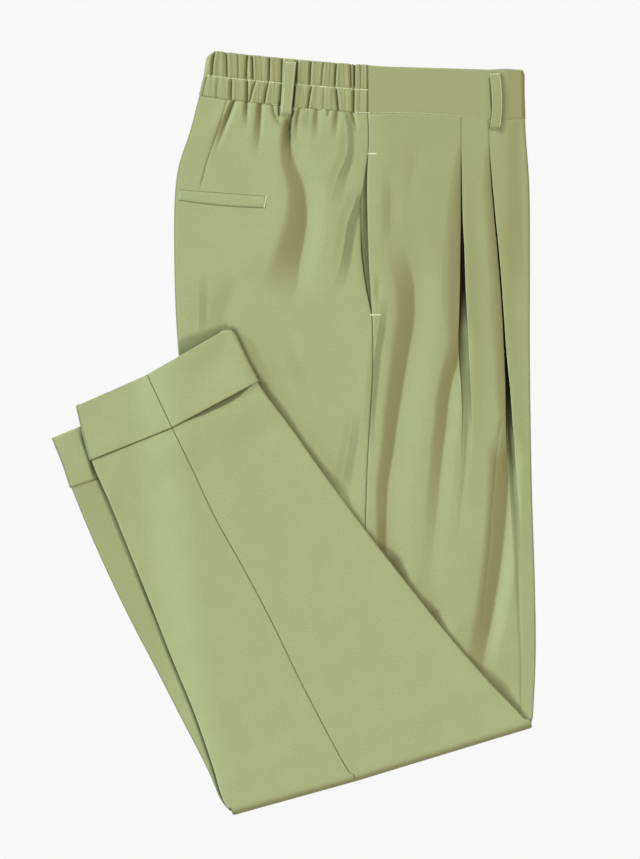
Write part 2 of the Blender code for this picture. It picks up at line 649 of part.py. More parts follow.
def left_panel(name, edge, parts):
    """A left panel from the waist seam along the floor, round the knee fold and up the leg."""
    upper = sections(UPPER_COLUMNS, UPPER_SECTIONS, UNDER_STATIONS)
    leg = sections(LEG_COLUMNS, LEG_SECTIONS, LEG_STATIONS)
    fold = sections(LEG_COLUMNS, LEG_SECTIONS, (0.0,))
    under, angles = panel_plan(*panel_lines(upper, "side_x", edge), parts, EDGE_RADIUS)
    over, _ = panel_plan(*panel_lines(leg, "seam_x", edge), parts, EDGE_RADIUS)
    bend, _ = panel_plan(*panel_lines(fold, "seam_x", edge), parts, EDGE_RADIUS)
    lift = 1.0 - np.cos(angles)

    inwards = fold_inwards()
    radius = leg_top(bend[0, :, 0], bend[0, :, 1] + KNEE_SAMPLE) / 2.0
    hinge = bend[0] + inwards * radius[:, None]
    rows = [np.column_stack((plan, LIP_DROP_UNDER * lift)) for plan in under]
    drop = np.linspace(LIP_DROP_UNDER, LEG_LIP_DROP, len(BEND_ANGLES))[:, None] * lift
    for angle, inset in zip(BEND_ANGLES, drop):
        reach = radius - inset
        plan = hinge - inwards * (reach * np.cos(angle))[:, None]
        rows.append(np.column_stack((plan, radius + reach * np.sin(angle))))
    for plan in over:
        rows.append(np.column_stack((plan, leg_top(plan[:, 0], plan[:, 1]) - LEG_LIP_DROP * lift)))
    outer = np.array(rows)
    wall(name, outer, outward_normals(outer, (2, 1), False))


# ---------------------------------------------------------------------------------------------
# Turn-ups and the right leg's strip
# ---------------------------------------------------------------------------------------------

CUFF_OUTSET = 1.8
CUFF_GAP = 0.7
CUFF_RADIUS = 4.0
CUFF_LIP_DROP = 4.0
HEM_FOLD = 3.2
CUFF_PARTS = (0.0, 0.2, 0.4, 0.6, 0.8)
CUFF_GAPE_FRONT = 2.2  # how far the free edge stands up at its outer end
CUFF_GAPE_BACK = 0.3
STRIP_HEIGHT = 2.7
STRIP_CUFF_HEIGHT = 4.2
STRIP_PARTS = (0.0, 0.35, 0.7)


def cuff_surface(edge, gape, inset):
    """The left turn-up's surface, folded at the hem and at the leg's edge, or one inside it."""
    fold_depth = inset + (HEM_FOLD - inset) * (1.0 - np.sin(LIP_ANGLES[::-1]))
    stations = np.concatenate((HEM - fold_depth / TURN_UP_HEIGHT, (8.75, 8.5, 8.3, 8.15, FREE_EDGE)))
    row = sections(LEG_COLUMNS, LEG_SECTIONS, stations)
    start, end = panel_lines(row, "seam_x", edge, CUFF_OUTSET - inset)
    plan, angles = panel_plan(start, end, CUFF_PARTS, CUFF_RADIUS - inset)
    hem_turn = np.concatenate((np.cos(LIP_ANGLES[::-1]), np.ones(5)))
    drop = (CUFF_LIP_DROP - inset) * (1.0 - hem_turn[:, None] * np.cos(angles))
    across = np.linspace(0.0, 1.0, plan.shape[1])[None, :]
    opening = smoothstep((8.55 - stations) / 0.55)[:, None] * smoothstep(across * 1.6) * gape
    x, y = plan[..., 0], plan[..., 1]
    z = leg_top(x, y) + CUFF_GAP + CLOTH - inset - drop + opening
    return np.stack((x, y, z), axis=-1)


def left_cuff(name, edge, gape):
    """Half of the left turn-up: over the leg, folded at the hem, with a free edge that gapes."""
    make_wall(name, cuff_surface(edge, gape, 0.0), cuff_surface(edge, gape, CLOTH))


def folded_strip(name, rows, stations, height):
    """Cloth folded round an edge: top layer, rounded edge, and the layer beneath it."""
    row = sections(STRIP_COLUMNS, rows, stations)
    left = np.stack((row["left_x"], row["left_y"]), axis=1)
    right = np.stack((row["right_x"], row["right_y"]), axis=1)
    run = right - left
    run /= np.linalg.norm(run, axis=1, keepdims=True)
    radius = height / 2.0
    centre = left + run * radius
    grid = []
    for part in STRIP_PARTS:
        plan = right + (centre - right) * part
        grid.append(np.column_stack((plan, leg_under(plan[:, 0], plan[:, 1]) + height)))
    for angle in np.radians((90.0, 45.0, 0.0, -45.0, -90.0)):
        plan = centre - run * radius * np.cos(angle)
        base = leg_under(centre[:, 0], centre[:, 1])
        grid.append(np.column_stack((plan, base + radius + radius * np.sin(angle))))
    for part in STRIP_PARTS[::-1]:
        plan = right + (centre - right) * part
        grid.append(np.column_stack((plan, leg_under(plan[:, 0], plan[:, 1]))))
    outer = np.stack(grid, axis=1)
    wall(name, outer, outward_normals(outer, (1, 0), True))


# ---------------------------------------------------------------------------------------------
# Hidden layers
# ---------------------------------------------------------------------------------------------

CORE_INSET = 2.4
CORE_UNDER = 1.7  # clear of the underside's cloth
CORE_CLEAR = 0.9  # under the left leg's cloth
STRIP_CLEAR = 24.0
CORE_STEP_SLOPE = 0.2
CORE_PARTS = np.array((0.0, 0.06, 0.12, 0.19, 0.27, 0.38, 0.5, 0.62, 0.75, 0.88, 1.0))


def across_section(row, from_left, from_right, parts=CORE_PARTS):
    """Plan points along each section between two insets from its ends."""
    left = np.stack((row["left_x"], row["left_y"]), axis=1)
    right = np.stack((row["right_x"], row["right_y"]), axis=1)
    run = right - left
    length = np.linalg.norm(run, axis=1, keepdims=True)
    run = run / length
    place = from_left + (length - from_left - from_right) * parts[None, :]
    return left[:, None, :] + run[:, None, :] * place[..., None]


def make_core():
    """One rounded solid for the hidden layers, folded with the legs and layered at its edges."""
    rings = []
    upper = sections(UPPER_COLUMNS, UPPER_SECTIONS, (0.35, 1.0, 2.0, 3.0, 4.0, 5.0, 6.0, 7.0, 7.55))
    plan = across_section(upper, CORE_INSET, CORE_INSET)
    for line in plan:
        rings.append(ring_of(
            np.column_stack((line, np.full(len(line), CORE_UNDER))),
            np.column_stack((line, np.full(len(line), UPPER_CORE_TOP))),
        ))
    fold = sections(LEG_COLUMNS, LEG_SECTIONS, (0.0,))
    inwards = fold_inwards()
    line = across_section(fold, CORE_INSET, CORE_INSET)[0]
    radius = leg_top(line[:, 0], line[:, 1] + KNEE_SAMPLE) / 2.0
    hinge = line + inwards * radius[:, None]
    slot_middle = (LEG_REST + UPPER_CORE_TOP) / 2.0
    slot_half = (LEG_REST - UPPER_CORE_TOP) / 2.0
    for angle in BEND_ANGLES:
        reach = (radius - CORE_UNDER) * np.cos(angle)
        outer = np.column_stack((
            hinge - inwards * reach[:, None], radius + (radius - CORE_UNDER) * np.sin(angle)))
        slot = np.full(len(line), slot_middle + slot_half * np.sin(angle))
        inner = np.column_stack((hinge - inwards * slot_half * np.cos(angle), slot))
        rings.append(ring_of(outer, inner))
    leg = sections(LEG_COLUMNS, LEG_SECTIONS, (1.0, 1.8, 2.6, 3.4, 4.2, 5.0, 5.8, 6.5, 7.1, 7.6, 8.1, 8.8))
    top = across_section(leg, CORE_INSET, CORE_INSET)
    bottom = across_section(leg, STRIP_CLEAR, 0.9)
    shelf = across_section(leg, CORE_INSET, 0.9, np.array((0.0, 1.0)))
    for upper_line, lower_line, ends in zip(top, bottom, shelf):
        outer = np.column_stack((upper_line, leg_top(*upper_line.T) - CLOTH - CORE_CLEAR))
        inner = np.column_stack((lower_line, leg_under(*lower_line.T)))
        rings.append(layered_ring(outer, inner, ends))
    skin("folded_layers", rings, GREEN_DARK)


def ring_of(outer, inner):
    """Ring through the outer line, the right side, the inner line and the left side."""
    right = between(outer[-1], inner[-1], (0.3, 0.6, 0.85))
    left = between(inner[0], outer[0], (0.15, 0.3, 0.5, 0.7, 0.85))
    return np.vstack((outer, right, inner[::-1], left))


def layered_ring(outer, inner, ends):
    """The same ring on the folded leg: a step at each side where the left leg lies on the right."""
    right_end, left_in = ends[1], inner[0]
    high = right_leg_top(right_end[0], right_end[1])
    base = leg_under(right_end[0], right_end[1])
    right = [
        (outer[-1, 0], outer[-1, 1], high),
        (right_end[0], right_end[1], high - CORE_STEP_SLOPE),
        (right_end[0], right_end[1], base + 0.5 * (high - base)),
    ]
    left = [(left_in[0], left_in[1], left_in[2] + 0.5 * RIGHT_LEG_STACK)]
    for part in (0.0, 0.34, 0.67, 1.0):
        plan = left_in[:2] + (outer[0, :2] - left_in[:2]) * part
        left.append((plan[0], plan[1], right_leg_top(plan[0], plan[1])))
    return np.vstack((outer, right, inner[::-1], left))


# ---------------------------------------------------------------------------------------------
# The trousers
# ---------------------------------------------------------------------------------------------


def main():
    for obj in list(bpy.data.objects):
        bpy.data.objects.remove(obj)
    upper_panel("right_back", back_columns)
    upper_panel("right_front", front_columns)
    make_facing()
    make_welt()
    left_panel("left_back", "left", BACK_PARTS)
    left_panel("left_front", "right", FRONT_PARTS)
    side_x = UPPER_SECTIONS[0][UPPER_COLUMNS.index("side_x")]
    band_piece(
        "waistband_front", side_x + SEAM_GAP / 2, "right_x",
        FRONT_BAND_PLACES + (side_x + SEAM_GAP / 2,), 1.0, False)
    band_piece(
        "waistband_back", side_x - SEAM_GAP / 2, "left_x",
        gather_columns(BACK_BAND_EDGE, side_x - SEAM_GAP / 2), -1.0, True)
    make_loop("belt_loop_back", **BACK_LOOP)
    make_loop("belt_loop_front", **FRONT_LOOP)
    folded_strip("right_back_lower", STRIP_SECTIONS, np.arange(0.0, 7.01, 0.5), STRIP_HEIGHT)
    folded_strip("cuff_right", RIGHT_CUFF_SECTIONS, np.linspace(0.0, 2.0, 5), STRIP_CUFF_HEIGHT)
    left_cuff("cuff_left_front", "right", CUFF_GAPE_FRONT)
    left_cuff("cuff_left_back", "left", CUFF_GAPE_BACK)
    make_core()


main()
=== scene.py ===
"""Looks of the pleated trousers, folded in half and then up at the knee.

Every piece of cloth is a thin shell on the form of its CAD solid, worked out from the same tables
in millimetres. Lengths in the tables are millimetres on the page, with +Y towards the waist, and
the finished meshes are in metres.
"""

import bpy
import numpy as np
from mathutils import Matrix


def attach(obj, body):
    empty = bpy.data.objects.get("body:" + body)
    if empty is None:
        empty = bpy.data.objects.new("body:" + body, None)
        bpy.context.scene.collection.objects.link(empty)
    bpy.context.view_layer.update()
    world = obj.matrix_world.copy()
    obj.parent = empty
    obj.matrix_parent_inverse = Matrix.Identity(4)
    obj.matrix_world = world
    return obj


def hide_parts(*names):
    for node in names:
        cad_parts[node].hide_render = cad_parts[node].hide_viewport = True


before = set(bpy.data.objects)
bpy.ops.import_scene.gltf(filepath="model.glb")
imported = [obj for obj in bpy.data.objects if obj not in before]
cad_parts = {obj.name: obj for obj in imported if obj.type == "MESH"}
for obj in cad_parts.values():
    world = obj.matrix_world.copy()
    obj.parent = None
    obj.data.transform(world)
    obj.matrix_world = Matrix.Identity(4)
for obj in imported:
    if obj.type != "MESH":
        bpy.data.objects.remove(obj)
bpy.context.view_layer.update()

MM = 0.001
OUTLINE_MIDDLE = np.array((0.45, 0.6, 0.0))

# Heights above the floor and radii of folded edges
CLOTH = 0.6  # thickness of the shells
PLEATED_WALL = 0.35  # thinner where the cloth doubles back in the pleats
UPPER_REST = 7.4
LEG_REST = 7.9
RIGHT_LEG_STACK = 3.2
RIGHT_CUFF_RISE = 1.5
RIGHT_CUFF_START = 6.0
RIGHT_CUFF_FULL = 42.0
LEFT_LEG_STACK = 3.5
RIM_LIFT = 1.2
RIM_FADE = 15.0
DROP_WIDTH = 50.0
EDGE_TURN = 1.7
EDGE_RETURN = 5.0
HALF_SEAM = 0.15  # each panel stops this far from the seam's middle
KNEE_SAMPLE = 8.0
KNEE_END = 4.0
TURN_UP_HEIGHT = 54.0
FREE_EDGE = 8.0  # row of the turn-up's free edge
FREE_EDGE_ROW = 44.0  # length of a row there
HEM = 9.0  # row of the hem
CUFF_OUTSET = 1.8
CUFF_LIFT = 1.9
CUFF_TURN = 2.7

UPPER_COLUMNS = ("left_x", "left_y", "right_x", "right_y", "bow", "dart_x", "side_x", "pleat_a", "pleat_b")
UPPER_SECTIONS = (
    (-84.5, 302.3, 209, 283.5, -4.2, -59, 67.2, 151, 176),  # waist seam
    (-92.5, 273.5, 210, 264.5, -3, -67, 68.2, 151, 176.5),
    (-105.2, 228.5, 213, 219.5, -2, -82, 66.4, 152, 181),  # hip
    (-107, 156.5, 213.4, 152, 0, -85, 68.2, 153, 185.5),  # seat
    (-103.5, 75.5, 213.4, 66.5, 0, -83, 72, 154, 192.5),  # thigh
    (-92.5, -32.5, 215, -41.5, 0, -73, 66.5, 153, 196),
    (-79, -149.5, 218, -140, 0, -58, 64, 147, 200),
    (-64, -257.5, 218.5, -205, 0, -43, 61, 142, 201),
    (-54, -343.5, 215.5, -264.5, -1.8, -31, 56.5, 138, 199),  # knee fold
)
LEG_COLUMNS = ("left_x", "left_y", "right_x", "right_y", "bow", "seam_x")
LEG_SECTIONS = (
    (-54, -343.5, 215.5, -264.5, -1.8, 56.5),  # knee fold
    (-63.5, -327.5, 199.5, -246.5, -0.5, 45),
    (-72.5, -298, 174.5, -220.5, 0, 29.5),
    (-89.5, -249.5, 135.5, -175.5, 0, 5),
    (-109.5, -201.5, 98.5, -129, 0, -18.5),
    (-128.5, -153, 62, -82, 0, -44),
    (-148, -104.5, 26.5, -34, -2, -70),
    (-165, -62.5, -3, 7.5, -3.5, -89.5),
    (-181.5, -23.5, -31.5, 46.5, -5, -108.5),  # free edge of the turn-up
    (-194, 25.5, -56, 96, -4.5, -131),  # hem
)
STRIP_COLUMNS = ("left_x", "left_y", "right_x", "right_y")
STRIP_SECTIONS = (
    (-56.5, -339.5, -46, -336),
    (-65.5, -328.5, -50, -323),
    (-77.5, -301, -61, -291),
    (-100.5, -257, -77.5, -245),
    (-123, -213.5, -97.5, -199),
    (-146, -169.5, -115.5, -153),
    (-167.5, -125, -133.5, -107.5),
    (-185, -85.5, -147.5, -70),
    (-199.6, -49.6, -160.5, -37),
    (-203.4, -39, -163.4, -26.4),  # tucked under the turn-up
)
RIGHT_CUFF_SECTIONS = (
    (-201.3, -49, -160, -35.6),
    (-208.5, -27, -166, -11),
    (-217.8, -4, -174, 14),
)
BAND_COLUMNS = ("left_x", "left_y", "right_x", "right_y", "bow")
BAND_SECTIONS = (
    (-84.5, 302.8, 209.6, 284, -4.2),
    (-82.8, 313, 209.2, 294.5, -3.9),
    (-80.6, 322.4, 208.9, 304.5, -3.6),  # the stitch between the two elastic channels
    (-79, 333.8, 208.8, 315.6, -3.8),
    (-77, 340, 208.8, 322.6, -4),
    (-72, 343.8, 207.4, 326.6, -4.4),
)
WAIST_LINE = (  # how far the waist seam's stitches stray from its even bow, at places across
    (-84, 1.8), (-60, 0.9), (-15, 0.6), (30, 0.1), (60, -0.5), (67, -0.5), (82, 0.5), (96, 1.4),
    (118, 1.8), (132, 1.2), (146, 0.3), (160, -0.7), (176, -1.8), (190, -1.2), (209, -0.2),
)
WAIST_FADE = 25.0
CHANNEL = 2.0  # row of the stitch between the elastic's channels
BAND_TOP = 5.0  # row of the band's top edge
BAND_THICKNESS = 2.0

# Folds of the upper part. Each has a crisp line where its steep flank ends, drawn from the top down.
# side 1 puts the flank on the line's left and -1 on its right. flank and foot are the flank's widths
# at the top and foot of the fold, rise that of the gentle side, crest and depth the heights above and
# below the cloth's rest. tone is how far painted shade darkens the flank and dark how far painted shade
# darkens the line itself.
# The last two are the shares of the length over which the fold fades.
FOLD_NAMES = (
    "line", "side", "flank", "foot", "rise", "crest", "depth", "tone", "dark", "fade_in", "fade_out",
)
UPPER_FOLDS = (
    # beside the side pocket, the whole way down
    (((92, 196), (99, 174), (106, 147.5), (108.7, 134), (109.6, 116), (108.4, 98), (104.6, 75.5),
      (100.8, 53), (97.2, 30.5), (94.2, 12.5), (90.6, -14.5), (85.2, -48), (84, -82), (83.6, -130)),
     1, 24, 7.5, 26, 1.5, 3.4, 1, 0, 0.24, 0.1),
    # from pleat A down to the leg
    (((152, 112), (150.5, 88), (148, 64.5), (144.7, 53), (140.2, 30.5), (138, 8), (135, -14.5),
      (132.6, -37), (130.2, -59.5), (127.4, -91), (123, -128), (118, -165)),
     1, 15, 9.5, 14, 1.2, 3, 1, 0, 0.2, 0.7),
    # from pleat B down to the leg
    (((192, 6), (193.4, -14), (194.4, -32.5), (191.7, -77.5), (186.3, -124.5), (178.2, -172),
      (171.9, -202), (167, -240)), 1, 21, 17, 14, 1.2, 4.2, 1, 0, 0.14, 0.3),
    # the sharp crease inside that fold
    (((188.8, 17.5), (185.8, 3.5), (184.3, -9.5), (182.8, -19.5), (181.3, -39.5), (179.3, -59.5),
      (177.8, -77.5), (176.3, -99.5), (173.5, -130), (170, -165), (166.5, -200)),
     1, 4, 5, 2, 0, 0.3, 0.4, 0.25, 0.05, 0.5),
    # under the back belt loop
    (((-0.6, 288), (-3.2, 280), (-3.4, 265.5), (-1, 251), (2, 241.5), (6.8, 230.5), (10.4, 219),
      (12.1, 205), (12.4, 192), (9.6, 172.5), (6, 154.5), (3.8, 136.5), (0, 124), (-6, 108)),
     1, 6, 35, 20, 1.5, 3.2, 1, 0, 0.06, 0.35),
    # drag lines towards the pocket's mouth and down the side seam, with the flank on their right
    (((61, 224), (55.6, 207), (49.4, 190), (45.6, 168), (41.6, 148), (35, 132), (28, 122)), -1,
     9, 11, 10, 0.4, 1, 1, 0, 0.15, 0.5),
    (((45.7, 291), (49, 275), (49.6, 262.5), (47.4, 248), (40.2, 231.5), (35, 214), (32, 200)), -1,
     4, 13, 9, 0.4, 1, 0.9, 0, 0.04, 0.5),
    (((79.5, 128), (77.5, 98), (73.5, 72), (71.6, 50), (69.6, 30), (68, 5), (67.4, -22)), -1,
     8, 6, 6, 0.4, 0.8, 0.9, 0, 0.25, 0.35),
    (((-84, 150), (-84, 120.5), (-85, 84.5)), -1, 8, 8, 14, 0.2, 0.5, 0.5, 0, 0.5, 0.3),
    (((54.6, 30), (53, 5), (48.5, -22), (43, -50)), -1, 8, 9, 9, 0.3, 0.8, 0.55, 0, 0.5, 0.2),
    # soft dents on the front, above the folds and beside the front edge
    (((88.5, 250), (88, 215), (88, 180), (91, 150)), 1, 9, 10, 12, 0.3, 0.8, 0.45, 0, 0.4, 0.5),
    (((76.5, 146), (76.3, 118)), 1, 4, 4, 5, 0.1, 0.5, 0.5, 0, 0.5, 0.3),
    (((112, 268), (107, 232), (101, 205)), 1, 8, 10, 12, 0.2, 0.6, 0.25, 0, 0.5, 0.5),
    (((203, 285), (204.5, 240), (206, 190), (207.5, 120)), 1, 15, 12, 6, 0.2, 0.9, 0.5, 0, 0.1, 0.5),
    # faint pulls on the back, between the welt and the leg
    (((-46, 150), (-62, 108), (-66, 70)), 1, 14, 16, 20, 0.3, 0.5, 0.2, 0, 0.5, 0.5),
    (((-20, 110), (-6, 60), (14, 10)), -1, 14, 16, 20, 0.3, 0.5, 0.15, 0, 0.5, 0.5),
)

# Short gathers that run down from the waist seam under the elastic, in the same columns.
FLANK_POWER = 1.35
STEEPEST_FOLD = 0.235
STEEPEST_GATHER = 0.6
WAIST_GATHERS = (
    (((-52.6, 301), (-57, 289), (-66, 266), (-73, 246)), 1, 3.5, 8, 5, 0.9, 2, 0.8, 0.9, 0.02, 0.85),
    (((-41.5, 301), (-41.9, 288), (-42, 272)), 1, 3.5, 5, 4, 0.9, 1.8, 0.7, 0.9, 0.02, 0.85),
    (((-28.8, 300), (-29.5, 286), (-30.8, 266), (-34, 244)), 1, 4.5, 8, 4, 0.9, 1.7, 1, 0.7, 0.02, 0.85),
    (((-19, 297), (-16.4, 286), (-12, 279), (-8, 272)), 1, 2.5, 3, 4, 0.3, 0.8, 0.6, 0.5, 0.05, 0.5),
    (((-12.6, 299), (-12.4, 285)), 1, 2, 2, 3, 0.3, 1, 0.8, 0.9, 0.02, 0.3),
    (((0.6, 297), (-1.2, 288), (-2.6, 274), (-2.2, 250)), -1, 3, 5, 3, 0.7, 1.6, 0.5, 1.1, 0.02, 0.5),
    (((-4.8, 286), (-5.6, 270), (-6, 248)), 1, 3, 4, 4, 0.4, 0.9, 0.8, 0.3, 0.1, 0.6),
    (((6.5, 294), (4, 281.5), (3.4, 271), (4.6, 258)), 1, 3, 5, 5, 0.6, 1.1, 0.8, 0.1, 0.05, 0.7),
    (((12.5, 293), (11, 281.5), (11.5, 266)), -1, 3, 5, 5, 0.4, 0.9, 0.6, 0.1, 0.05, 0.7),
    (((22, 293), (21.6, 278), (21.2, 262)), 1, 4, 6, 5, 0.5, 1, 0.7, 0.1, 0.05, 0.8),
    (((31.8, 291.5), (31.2, 284)), 1, 2, 2, 2, 0.3, 0.8, 0.5, 0.5, 0.05, 0.6),
    (((39.8, 291), (39, 278), (37, 262)), 1, 3.5, 6, 5, 0.5, 1.1, 0.8, 0.3, 0.02, 0.8),
    (((53, 290.5), (55.4, 280), (57, 268)), 1, 3, 4, 4, 0.5, 1.2, 0.8, 0.5, 0.02, 0.75),
)

# The pleats. left_x is where the cloth on the left ends over the gap and right_x the fold edge on the
# right. shoulder is how far the left side drops within roll, depth that of the gap's floor, lip how far
# the fold edge stands up and under how far the layer beneath reaches under it. The last two columns are
# painted shade: a near-black painted shadow in the gap, and a lighter painted shade on the open gap's floor.
PLEAT_COLUMNS = ("y", "left_x", "right_x", "shoulder", "depth", "roll", "lip", "under", "dark", "grey")
PLEAT_A = (
    (305, 151, 151.1, 0.2, 0.3, 1.2, 0, 0.1, 0.12, 0),
    (258, 151.2, 151.5, 0.3, 0.4, 2, 0, 0.1, 0.15, 0),
    (247, 151.3, 151.8, 1, 1.4, 5, 0.2, 0.2, 0.5, 0),
    (234, 151.4, 152, 1.7, 2.3, 8, 0.5, 1.6, 0.9, 0),
    (209, 151.5, 152.4, 2.4, 3.2, 12, 0.9, 10, 1, 0),
    (188, 151.4, 152.9, 2.8, 3.7, 14, 1.2, 13, 1, 0),
    (165, 151, 154.2, 3.1, 4.2, 16, 1.4, 14, 1, 0),
    (129, 150.6, 155.3, 3.3, 4.4, 17, 1.5, 12, 1, 0),
    (102, 149.8, 156.8, 3, 4, 15, 1.5, 8, 0.95, 0.35),
    (84, 149.2, 157.8, 2, 3.6, 10, 1.4, 6, 0.7, 1),
    (66, 149.8, 158.6, 1, 3, 7, 1.3, 5, 0.45, 1),
    (44, 151.5, 159.8, 0.6, 2.4, 6, 1.2, 4.5, 0.15, 0.85),
    (12, 152.5, 161, 0.5, 1.6, 6, 0.9, 2, 0, 0.6),
    (-24, 151, 159.4, 0.3, 1, 6, 0.6, 0.5, 0, 0.4),
    (-60, 148, 155, 0.1, 0.4, 6, 0.2, 0.2, 0, 0.2),
    (-100, 145, 151, 0, 0, 6, 0, 0.1, 0, 0),
)
PLEAT_B = (
    (305, 174.6, 174.7, 0.2, 0.3, 1.2, 0, 0.1, 0.12, 0),
    (258, 176.4, 176.7, 0.3, 0.4, 2, 0, 0.1, 0.2, 0),
    (247, 177, 177.5, 1, 1.4, 5, 0.2, 0.2, 0.5, 0),
    (234, 178.1, 178.7, 1.6, 2.3, 7, 0.5, 1.6, 0.9, 0),
    (210, 180, 180.8, 2, 3.2, 9, 0.9, 10, 1, 0),
    (153, 185, 186, 2.2, 4.2, 10, 1.3, 14, 1, 0),
    (112, 188.2, 189.2, 2.3, 4.4, 11, 1.5, 14, 1, 0),
    (80, 189.9, 191.4, 2.3, 4.5, 11, 1.5, 12, 1, 0),
    (60, 190.8, 193.2, 2.3, 4.6, 10, 1.5, 11, 1, 0),
    (40, 191.6, 195.4, 2.2, 4.6, 10, 1.6, 10, 1, 0),
    (8, 191.9, 197.6, 1.8, 4.4, 8, 1.6, 8, 0.9, 0.1),
    (-6, 192.2, 199.2, 1.5, 3.8, 7, 1.4, 6, 0.85, 0.8),
    (-24, 193.6, 200.1, 1, 2.8, 6, 1.2, 4, 0.6, 1),
    (-42, 195, 201.6, 0.6, 2, 5, 1, 1.6, 0.15, 1),
    (-78, 197, 204.3, 0.3, 1.4, 5, 0.7, 0.6, 0, 0.9),
    (-114, 198.6, 205, 0.2, 0.9, 5, 0.5, 0.4, 0, 0.6),
    (-186, 201, 206.2, 0.1, 0.6, 5, 0.3, 0.4, 0, 0.3),
    (-240, 203, 207, 0, 0.2, 5, 0, 0.1, 0, 0.2),
)
LIP_SETTLE = 9.0
SEWN_PLEAT = 200.0  # above here the pleats are always made as folds
PLEAT_A_BELOW, PLEAT_B_BELOW = 3.5, 5.0  # how far a row at a pleat lies below its place at the side seam
LOWEST_CLOTH = 3.0  # nothing of the upper layer lies lower on the inner layers
SEAM_TONE = 0.55
SEAM_WIDTH = 0.34
# Painted shade: EDGE_SHADE darkens the folded edges that face the window, and LINE_WIDTH is the width of the
# painted dark line along each fold.
EDGE_SHADE = 0.8  # tone of the folded edges that face the window
LINE_WIDTH = 0.7

POCKET_MOUTH = (  # (y, offset of the back's edge, sag of the edge)
    (104, 0, 0),
    (111, -0.6, 0.3),
    (129, -3.2, 0.4),
    (147, -4.9, 0.5),
    (165, -6.1, 0.5),
    (183, -6, 0.5),
    (197, -5.9, 0.4),
    (209.5, -5.5, 0.4),
    (217, -3.5, 0.3),
    (226, -2, 0.3),
    (239.6, -0.9, 0.2),
    (252, 0, 0),
)

# Creases of the elastic waistband: place at its top and at its foot, depth, width, and the height of
# the narrow roll on its right. The first table is the channel above the middle stitch, the second the
# one below it.
CREASE_NAMES = ("top", "foot", "depth", "width", "roll")
UPPER_CREASES = (
    (-70.2, -72.9, 1.6, 0.8, 0.5), (-60, -59, 1.5, 0.7, 0.4), (-49.5, -49.1, 0.7, 1.2, 0.1),
    (-40.8, -42, 1.5, 0.9, 0), (-36.8, -35.7, 1.9, 0.8, 0.5), (-28.6, -28, 0.3, 1.2, 0),
    (-20.7, -21.4, 2, 0.8, 0.5), (-9.5, -10.2, 1.7, 0.7, 0.2), (4, 3.4, 2.1, 1.3, 0.5),
    (11, 10.4, 0.3, 1.1, 0), (16.4, 15.3, 2, 0.8, 0.5), (27.9, 25.7, 0.8, 1.2, 0.2),
    (34, 32.8, 0.5, 1, 0), (39.3, 37.8, 1.9, 0.8, 0.5), (46, 46.5, 0.4, 1.2, 0),
    (52, 52.5, 1.2, 0.7, 0.1), (55.4, 55.4, 2, 1.1, 0.3), (61.5, 61, 0.7, 0.9, 0.1),
)
LOWER_CREASES = (
    (-77.5, -82, 0.9, 1.3, 0), (-67.5, -68.9, 0.5, 1.3, 0), (-55.2, -55.6, 1.9, 0.7, 0.3),
    (-48.2, -48.6, 0.3, 1, 0), (-41, -41, 2.1, 0.9, 0.1), (-33.5, -39.4, 1.3, 0.6, 0.2),
    (-29, -31, 0.4, 1, 0), (-22.2, -25.9, 1.7, 0.7, 0.3), (-16, -17.5, 0.3, 1, 0),
    (-10.3, -11.7, 1.6, 0.8, 0), (2.5, 0.7, 2.1, 1, 0.5), (9.5, 9, 0.3, 1.1, 0),
    (16.8, 13.5, 1.7, 0.7, 0.4), (27.9, 27.5, 0.5, 1, 0.1), (36, 36.2, 0.4, 0.8, 0),
    (39, 41.2, 1.9, 0.9, 0.2), (47, 47.4, 0.3, 1.2, 0), (55.1, 54.7, 2, 1, 0.3), (60.5, 60, 0.5, 0.9, 0),
)
BAND_PUFF = 0.9
LOOP_HUMP, LOOP_HUMP_PLACE = 1.1, 191.0  # rise of the band's top edge at the front loop
FLAT_BAND_RIPPLE = 0.1

DART = ((-59, 302.5), (-66.9, 275.2), (-77.4, 244.9), (-83.7, 219.8))

# Faint unevenness of the folded leg and its turn-ups: centre, reach along and across, turn, height.
LEG_UNEVEN_NAMES = ("x", "y", "along", "across", "turn", "height")
LEG_UNEVEN = (
    (-82, -42, 70, 14, 118, -0.9), (-58, -70, 80, 18, 120, 0.6),
    (-120, -60, 90, 22, 114, 0.6), (20, -140, 90, 26, 128, -0.5),
    (60, -200, 80, 24, 130, 0.5), (-60, -230, 90, 20, 112, -0.5),
    (-10, -290, 60, 14, 20, 0.5), (120, -250, 60, 12, 22, 0.4),
)

LEG_RIM = np.array((
    (225, -275), (215.5, -264.5), (199.5, -245.5), (174.5, -220), (135.5, -175.5),
    (98.5, -129), (62, -82), (26.5, -34), (-3, 7.5), (-30, 46.5), (-41.5, 67.5),
    (-52.5, 92), (-61, 96), (-101.5, 70.5), (-131, 54), (-194, 25),
))
LEG_AXIS = np.array((-0.454, 0.891))


# Curves and tables


def sections(columns, rows, stations):
    """The table's columns at fractional row numbers: cubic curves whose slope at a row is half the
    difference of its neighbours."""
    table = np.array(rows, float)
    stations = np.asarray(stations, float)
    low = np.clip(np.floor(stations).astype(int), 0, len(table) - 2)
    part = (stations - low)[:, None]
    before = table[np.maximum(low - 1, 0)]
    first, second = table[low], table[low + 1]
    after = table[np.minimum(low + 2, len(table) - 1)]
    slope_in, slope_out = (second - before) / 2.0, (after - first) / 2.0
    value = (
        (2 * part**3 - 3 * part**2 + 1) * first
        + (part**3 - 2 * part**2 + part) * slope_in
        + (3 * part**2 - 2 * part**3) * second
        + (part**3 - part**2) * slope_out
    )
    return dict(zip(columns, value.T))


def section_y(row, x):
    """A section line's height on the page at x: straight between its ends, plus a parabola's bow."""
    across = (x - row["left_x"][:, None]) / (row["right_x"] - row["left_x"])[:, None]
    line = row["left_y"][:, None] + across * (row["right_y"] - row["left_y"])[:, None]
    return line + row["bow"][:, None] * 4.0 * across * (1.0 - across)


def smoothstep(value):
    """0 below 0, 1 above 1, and the cubic 3v2 - 2v3 between."""
    part = np.clip(value, 0.0, 1.0)
    return part * part * (3.0 - 2.0 * part)


